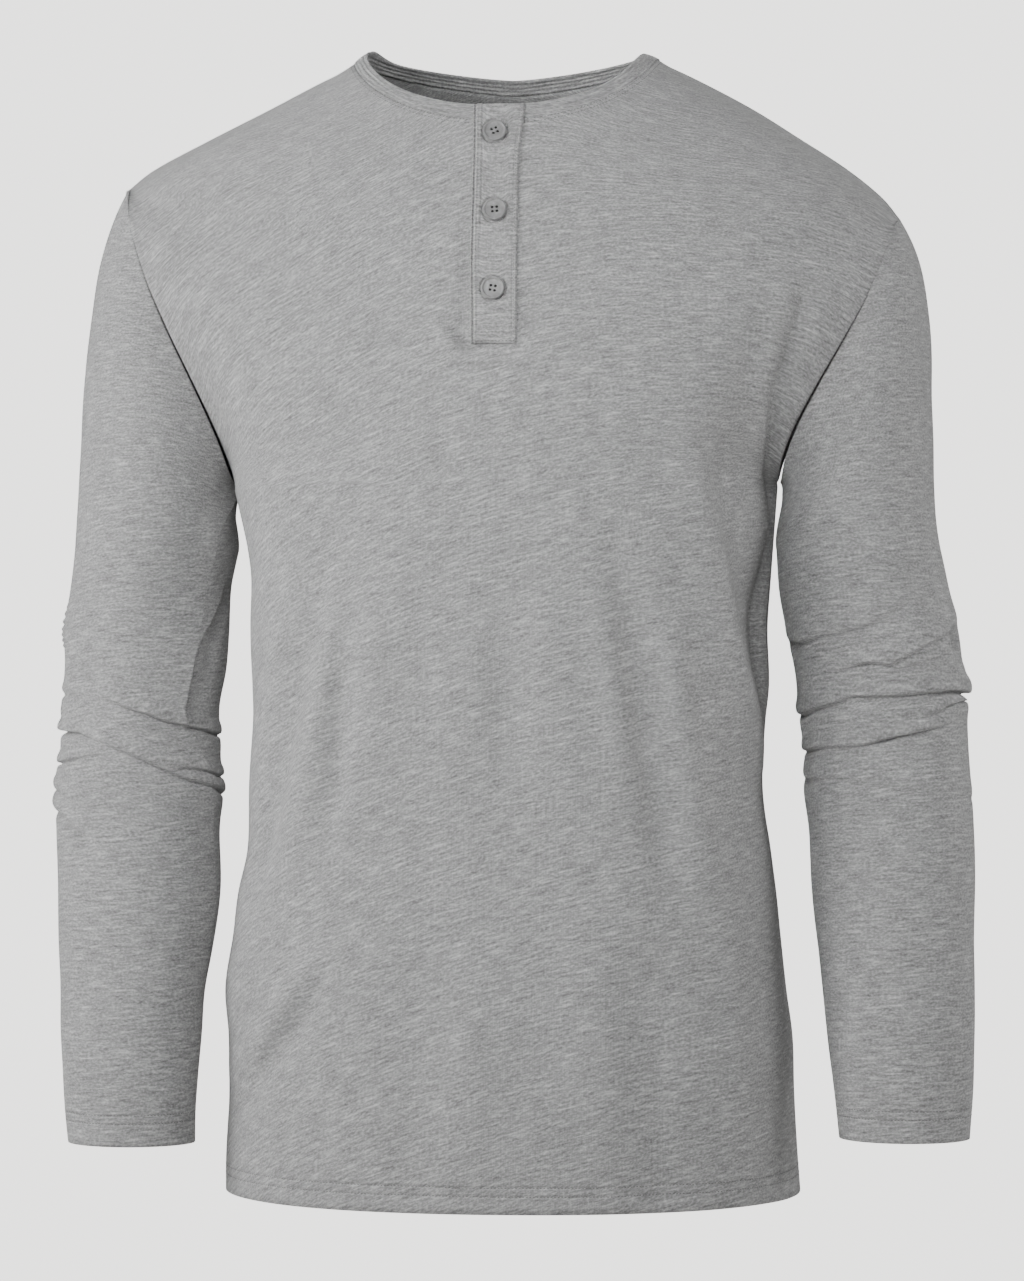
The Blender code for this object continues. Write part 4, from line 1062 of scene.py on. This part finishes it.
def make_sleeve(side, made_of):
    """A set-in sleeve; its grid starts and ends at the underarm seam."""
    levels = sleeve_levels(side)
    rows = len(levels) - 1 + CAP_RINGS
    start_turns = [math.radians(SEAM_TURN[side](z)) for z in levels]
    start_turns += [start_turns[-1] + (math.pi - start_turns[-1]) * smoothstep(k / CAP_RINGS)
                    for k in range(1, CAP_RINGS + 1)]

    def turn_of(column, row):
        k = column if side == "right" else SLEEVE_AROUND - column
        round_arm = 2 * math.pi * k / SLEEVE_AROUND
        return (start_turns[row] + round_arm
                - SEAM_CROWDING[side] * math.sin(round_arm)) % (2 * math.pi)

    def place(column, row):
        turn = turn_of(column, row)
        if row >= len(levels):
            return cap_point(side, turn, (rows - row) / CAP_RINGS)
        return sleeve_section(side, turn, levels[row])

    bm, lattice = cloth_grid(SLEEVE_AROUND, rows, place)
    lay_cloth_uv(bm, lattice, SLEEVE_AROUND, rows, lambda u: SLEEVE_SLANT * u)
    moves = []
    for (column, row), vert in lattice.items():
        turn = turn_of(column, row)
        z = vert.co.z
        sink, slip = sleeve_fold(side, turn, z)
        sink -= ripple(vert.co, *SLEEVE_GROUND)
        corner = (smoothstep((SEAM_CORNER_TOP_Z - z) / SEAM_CORNER_TOP_FADE)
                  * smoothstep((z - SEAM_CORNER_LOW_Z) / SEAM_CORNER_LOW_FADE))
        sink -= SEAM_CORNER[side] * corner * bell(short_way(turn - start_turns[row]),
                                                  SEAM_CORNER_ANGLE)
        fade = smoothstep((rows - row) / ARMHOLE_FADE_RINGS)
        sink = sink * fade + ARMHOLE_HOLLOW * (1 - fade)
        if column in (0, SLEEVE_AROUND):
            sink -= SEAM_RIDGE[side]
        moves.append((vert, vert.normal * sink + Vector((0, 0, slip * fade))))
    for vert, move in moves:
        vert.co -= move
    bmesh.ops.remove_doubles(bm, verts=bm.verts, dist=CLOSEST_CORNERS)
    surface = BVHTree.FromBMesh(bm)
    piece = finish_cloth(bm, f"sleeve_{side}_cloth", CLOTH, made_of, f"sleeve_{side}")
    return piece, surface


def make_neckband(made_of):
    """The folded band, from the placket round the neck to the placket."""
    first, last = (math.asin(BAND_END[side] / NECK_X[side]) for side in ("left", "right"))

    def place(column, row):
        turn = first + (2 * math.pi - first - last) * column / BAND_AROUND
        return band_point(turn, row / BAND_ACROSS)

    bm, lattice = cloth_grid(BAND_AROUND, BAND_ACROSS, place)
    lay_cloth_uv(bm, lattice, BAND_AROUND, BAND_ACROSS)
    piece = finish_cloth(bm, "neckband_cloth", BAND_CLOTH, made_of, "neckband")
    return piece


def leaf_lift(x, z):
    """How far the upper leaf stands above its even face, where its folds, its stitched box and
    the buttons shape it."""
    in_from_groove = (x - LEAF_GROOVE_X(z)) / MM
    in_from_fold = (LEAF_FOLD_X(z) - x) / MM
    lift = relief(in_from_groove, GROOVE_SIDE_FORM) + relief(in_from_fold, FOLD_SIDE_FORM)
    lift -= STRIP_DROP * smoothstep(0.5 - in_from_groove / STRIP_FADE)
    lift += (relief(in_from_groove, SECOND_FOLD_FORM)
             * smoothstep((z - SECOND_FOLD_FOOT_Z) / SECOND_FOLD_FADE))
    for row in BOX_ROWS_Z:
        lift += relief((z - row) / MM, BOX_GROOVE_FORM)
    for button_x, button_z, _ in BUTTONS:
        past_rim = math.hypot(x - button_x, z - button_z) - BUTTON_RADIUS
        lift -= BUTTON_DENT_MM * (1 - smoothstep(past_rim / BUTTON_DENT_FADE))
        lift -= BUTTON_MOAT_MM * bell(past_rim, BUTTON_MOAT_WIDTH)
    return lift * MM


def make_upper_leaf(made_of):
    columns, rows = UPPER_LEAF_GRID
    top_z = band_point(0.0, 1.0).z

    def place(column, row):
        z = PLACKET_FOOT_Z + (top_z - PLACKET_FOOT_Z) * row / rows
        first = LEAF_GROOVE_X(z) - LEAF_STRIP
        x = first + (LEAF_FOLD_X(z) - first) * column / columns
        pucker = ripple((x, 0.0, z), *LEAF_GROUND)
        return leaf_point(x, z, UPPER_LEAF_OUT + leaf_lift(x, z) + pucker)

    return make_leaf("placket_over_cloth", "placket_over", columns, rows, place, made_of)


def make_under_leaf(made_of):
    columns, rows = UNDER_LEAF_GRID
    top_z = band_point(0.0, 1.0).z

    def place(column, row):
        x = UNDER_LEAF_HALF * (2 * column / columns - 1)
        z = UNDER_LEAF_FOOT_Z + (top_z - UNDER_LEAF_FOOT_Z) * row / rows
        return leaf_point(x, z, UNDER_LEAF_OUT)

    return make_leaf("placket_under_cloth", "placket_under", columns, rows, place, made_of)


def make_leaf(name, node, columns, rows, place, made_of):
    """A leaf of the placket, and its face for the stitches to lie on."""
    bm, lattice = cloth_grid(columns, rows, place)
    lay_cloth_uv(bm, lattice, columns, rows)
    surface = BVHTree.FromBMesh(bm)
    piece = finish_cloth(bm, name, LEAF_CLOTH, made_of, node)
    return piece, surface


def turned_blank():
    """A button turned about the Z axis, its back at height 0, before its holes are drilled."""
    bm = bmesh.new()
    verts = [bm.verts.new((radius * MM, 0.0, height * MM)) for radius, height in BUTTON_PROFILE_MM]
    edges = [bm.edges.new(pair) for pair in zip(verts, verts[1:])]
    bmesh.ops.spin(bm, geom=verts + edges, cent=(0, 0, 0), axis=(0, 0, 1), angle=2 * math.pi,
                   steps=BUTTON_AROUND, use_merge=True)
    bmesh.ops.remove_doubles(bm, verts=bm.verts, dist=1e-6)
    bmesh.ops.recalc_face_normals(bm, faces=bm.faces)
    return bm


def drilled_button():
    """The turned blank with its four holes, as a bmesh."""
    drill = bmesh.new()
    for x, y in HOLE_PLACES:
        bmesh.ops.create_cone(drill, cap_ends=True, segments=20, radius1=HOLE_RADIUS,
                              radius2=HOLE_RADIUS, depth=10 * MM,
                              matrix=Matrix.Translation((x, y, 0)))
    blank = add_object("button_blank", mesh_from(turned_blank(), "button_blank"))
    cutter = add_object("button_cutter", mesh_from(drill, "button_cutter"))
    holes = blank.modifiers.new("holes", "BOOLEAN")
    holes.operation = "DIFFERENCE"
    holes.solver = "EXACT"
    holes.object = cutter
    depsgraph = bpy.context.evaluated_depsgraph_get()
    bm = bmesh.new()
    bm.from_mesh(blank.evaluated_get(depsgraph).to_mesh())
    for spent in (blank, cutter):
        bpy.data.objects.remove(spent, do_unlink=True)
    return bm


def button_place(x, z, turn_degrees):
    """Where a button's middle sits on the upper leaf, and how it is turned."""
    seat = leaf_point(x, z, UPPER_LEAF_OUT + BUTTON_LIFT)
    upwards = leaf_point(0.0, z + SLOPE_STEP, 0.0) - leaf_point(0.0, z - SLOPE_STEP, 0.0)
    upwards.normalize()
    axis = Vector((1, 0, 0)).cross(upwards)
    basis = Matrix((Vector((1, 0, 0)), upwards, axis)).transposed().to_4x4()
    return Matrix.Translation(seat) @ basis @ Matrix.Rotation(math.radians(turn_degrees), 4, "Z")


def make_button(number, place, made_of, hole_thread_and_shade):
    bm = drilled_button()
    bmesh.ops.transform(bm, matrix=place, verts=bm.verts)
    face = mesh_from(bm, f"button_{number}_face")
    face.materials.append(made_of)
    face.shade_smooth()
    face.set_sharp_from_angle(angle=SHARP_EDGE)
    piece = add_object(f"button_{number}_face", face)
    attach(piece, "root")
    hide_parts(f"button_{number}")

    # The thread that fills each hole stays down inside it, and touches its wall. Its near-black
    # colour is painted shade of the holes.
    bm = bmesh.new()
    for x, y in HOLE_PLACES:
        knot = (Matrix.Translation((x, y, KNOT_HEIGHT))
                @ Matrix.Diagonal((HOLE_RADIUS, HOLE_RADIUS, KNOT_HALF, 1.0)))
        bmesh.ops.create_uvsphere(bm, u_segments=8, v_segments=6, radius=KNOT_FULLNESS,
                                  matrix=place @ knot)
    hole_thread_and_shade_piece = finish_cloth(bm, f"button_{number}_thread", None, hole_thread_and_shade)


# Sewing.


def walk(points, step):
    """Places and directions at even steps along a line of points."""
    carried = 0.0
    for a, b in zip(points, points[1:]):
        run = b - a
        length = run.length
        while carried < length:
            yield a + run * (carried / length), run.normalized()
            carried += step
        carried -= length


def sew(name, lines, surfaces, hole_thread_and_shade):
    """Rows of lockstitch: a short rounded thread for each stitch, pulled into the cloth."""
    size = Matrix.Diagonal((STITCH_LENGTH / 2, THREAD_WIDTH / 2,
                            THREAD_WIDTH / 2 / THREAD_FLATNESS, 1.0))
    bm = bmesh.new()
    for line in lines:
        for place, direction in walk(line, STITCH_PITCH):
            spot, normal = min((surface.find_nearest(place) for surface in surfaces),
                               key=lambda hit: hit[3])[:2]
            along = (direction - normal * direction.dot(normal)).normalized()
            basis = Matrix((along, normal.cross(along), normal)).transposed().to_4x4()
            seat = Matrix.Translation(spot - normal * STITCH_SUNK)
            bmesh.ops.create_uvsphere(bm, u_segments=6, v_segments=4, radius=1.0,
                                      matrix=seat @ basis @ size)
    piece = finish_cloth(bm, name, None, hole_thread_and_shade)


def panel_line(panel, height_above_hem):
    """A level line of points round a body panel, above its hem."""
    row = height_above_hem / ((UNDERARM_Z - HEM_Z) / LOW_ROWS)
    half = SLOT_COLUMNS + SIDE_COLUMNS
    line = [panel_point(panel, "right", half - k, row) for k in range(half)]
    return line + [panel_point(panel, "left", k, row) for k in range(half + 1)]


def sleeve_line(side, height_above_cuff):
    """A level line of points round a sleeve, above its cuff."""
    z = CUFF_Z[side] + height_above_cuff
    return [sleeve_section(side, 2 * math.pi * k / 90, z) for k in range(91)]


def neck_line(below):
    """A line on the body below the neck seam, from one side of the placket to the other."""
    points = []
    for k in range(181):
        turn = NECK_LINE_START + 2 * (math.pi - NECK_LINE_START) * k / 180
        up = band_point(turn, 1.0) - band_point(turn, 0.0)
        points.append(band_point(turn, 0.0) - up.normalized() * below)
    return points


def leaf_line():
    """A line up the upper leaf, beside its fold, from the box to the top of the band."""
    low_z = BOX_ROWS_Z[0]
    high_z = band_point(0.0, 1.0).z - FOLD_ROW_TOP_GAP
    heights = [low_z + (high_z - low_z) * k / 40 for k in range(41)]
    return [leaf_point(LEAF_FOLD_X(z) - FOLD_ROW_INSET, z, UPPER_LEAF_OUT) for z in heights]


def leaf_cross(z):
    """A line across the upper leaf, between its edges."""
    first, last = LEAF_GROOVE_X(z) + BOX_INSET, LEAF_FOLD_X(z) - BOX_INSET
    return [leaf_point(first + (last - first) * k / 16, z, UPPER_LEAF_OUT) for k in range(17)]


# Stage.

FLOOR_Z = -1.2
FLOOR_RADIUS = 2.4

# The camera looks level at the shirt, from a little to its left.
CAMERA_HEIGHT = -0.3616
CAMERA_DISTANCE = 2.6
CAMERA_AZIMUTH = math.radians(4.5)
FRAME_HEIGHT = 0.8006
FRAME_CENTRE_X = 0.0031
SENSOR_HEIGHT = 24.0

# Softboxes: place, size, watts, where it points and how wide it spreads in degrees.
LIGHT_AIM = Vector((0.0, 0.0, -0.35))
LIGHTS = {
    "left": ((-2.8, -0.9, 0.2), 1.2, 24.2, LIGHT_AIM, 180),
    "left_front": ((-1.5, -2.5, 0.3), 1.2, 19.1, LIGHT_AIM, 180),
    "left_close": ((-1.5, -1.0, 0.35), 0.7, 20.8, Vector((0.0, -0.1, -0.2)), 180),
    "front_grid": ((0.1, -2.7, 0.45), 0.5, 0.7, Vector((0.0, -0.1, -0.3)), 28),
    "chest_grid": ((-0.3, -2.5, 0.9), 0.5, 0.3, Vector((0.0, -0.1, -0.18)), 22),
    "right": ((2.8, -0.9, 0.2), 1.2, 22.1, LIGHT_AIM, 180),
    "right_back": ((2.4, 0.9, 0.6), 1.2, 14.9, LIGHT_AIM, 180),
}

# The backdrop as the camera sees it, and the even light of the room.
BACKDROP_COLOUR = "#e0dfdd"
BACKDROP_STRENGTH = 3.4
WORLD_COLOUR = "#ffffff"
WORLD_LIGHT = 0.168


def make_floor(made_of):
    bm = bmesh.new()
    bmesh.ops.create_circle(bm, cap_ends=True, segments=96, radius=FLOOR_RADIUS,
                            matrix=Matrix.Translation((0, 0, FLOOR_Z)))
    mesh = mesh_from(bm, "studio_floor")
    mesh.materials.append(made_of)
    floor = add_object("studio_floor", mesh)


def make_camera():
    camera = bpy.data.cameras.new("camera")
    camera.sensor_fit = "VERTICAL"
    camera.sensor_height = SENSOR_HEIGHT
    camera.lens = SENSOR_HEIGHT * CAMERA_DISTANCE / FRAME_HEIGHT
    away = Vector((math.sin(CAMERA_AZIMUTH), -math.cos(CAMERA_AZIMUTH), 0.0))
    aside = Vector((math.cos(CAMERA_AZIMUTH), math.sin(CAMERA_AZIMUTH), 0.0))
    item = add_object("camera", camera)
    item.location = (away * CAMERA_DISTANCE + aside * FRAME_CENTRE_X
                     + Vector((0, 0, CAMERA_HEIGHT)))
    item.rotation_euler = (math.pi / 2, 0.0, CAMERA_AZIMUTH)
    bpy.context.scene.camera = item


def make_lights():
    for name, (place, size, watts, aim, spread) in LIGHTS.items():
        light = bpy.data.lights.new(name, "AREA")
        light.size = size
        light.energy = watts
        light.spread = math.radians(spread)
        item = add_object(name, light)
        item.location = place
        item.rotation_euler = (aim - Vector(place)).to_track_quat("-Z", "Y").to_euler()


def make_world():
    """A pale backdrop for the camera, and a weaker light on the shirt."""
    world = bpy.data.worlds.new("studio")
    world.use_nodes = True
    tree = world.node_tree
    tree.nodes.clear()
    seen, lit = (
        add_node(tree, "ShaderNodeBackground", {"Color": linear(colour), "Strength": strength})
        for colour, strength in ((BACKDROP_COLOUR, BACKDROP_STRENGTH), (WORLD_COLOUR, WORLD_LIGHT)))
    path = add_node(tree, "ShaderNodeLightPath").outputs["Is Camera Ray"]
    mix = add_node(tree, "ShaderNodeMixShader", {0: path, 1: lit.outputs[0], 2: seen.outputs[0]})
    add_node(tree, "ShaderNodeOutputWorld", {"Surface": mix.outputs[0]})
    bpy.context.scene.world = world


def main():
    body_jersey = heather_jersey("heather_jersey_body", HEM_ROWS)
    sleeve_jersey = heather_jersey("heather_jersey_sleeves", CUFF_ROWS)
    plain_jersey = heather_jersey("heather_jersey_placket")
    band_jersey = heather_jersey("heather_jersey_neckband", BAND_ROWS, BAND_GROOVE_DEPTH)
    # The sewing thread's dark greys are partly painted shade of the stitches sunk into the cloth.
    hole_thread_and_shade = spun_thread("sewing_thread_and_painted_shade", "#484848", "#5c5c5c")
    # The button thread is near-black as painted shade inside the buttons' holes.
    hole_thread_and_painted_shade = spun_thread("hole_thread_and_painted_shade", "#0e0e0e", "#1c1c1c")
    polyester = moulded_polyester("cast_polyester_button")

    front, front_surface = make_panel("front", body_jersey, slanted_courses)
    back, back_surface = make_panel("back", body_jersey, lambda u: BACK_SLANT * u)
    sleeves = {side: make_sleeve(side, sleeve_jersey) for side in SIGN}
    band = make_neckband(band_jersey)
    over, over_surface = make_upper_leaf(plain_jersey)
    under, _ = make_under_leaf(plain_jersey)
    for number, (x, z, turn) in enumerate(BUTTONS, 1):
        make_button(number, button_place(x, z, turn), polyester, hole_thread_and_painted_shade)

    body = (front_surface, back_surface)
    sew("hem_stitches", [panel_line(panel, row) for panel in ("front", "back")
                         for row in HEM_ROWS], body, hole_thread_and_shade)
    for side in SIGN:
        sew(f"cuff_stitches_{side}", [sleeve_line(side, row) for row in CUFF_ROWS],
            (sleeves[side][1],), hole_thread_and_shade)
    sew("neck_stitches", [neck_line(below) for below in NECK_STITCHES], body, hole_thread_and_shade)
    sew("placket_stitches", [leaf_line()] + [leaf_cross(row) for row in BOX_ROWS_Z],
        (over_surface,), hole_thread_and_shade)

    make_floor(studio_paint("studio_floor_paint"))
    make_lights()
    make_world()
    make_camera()


main()
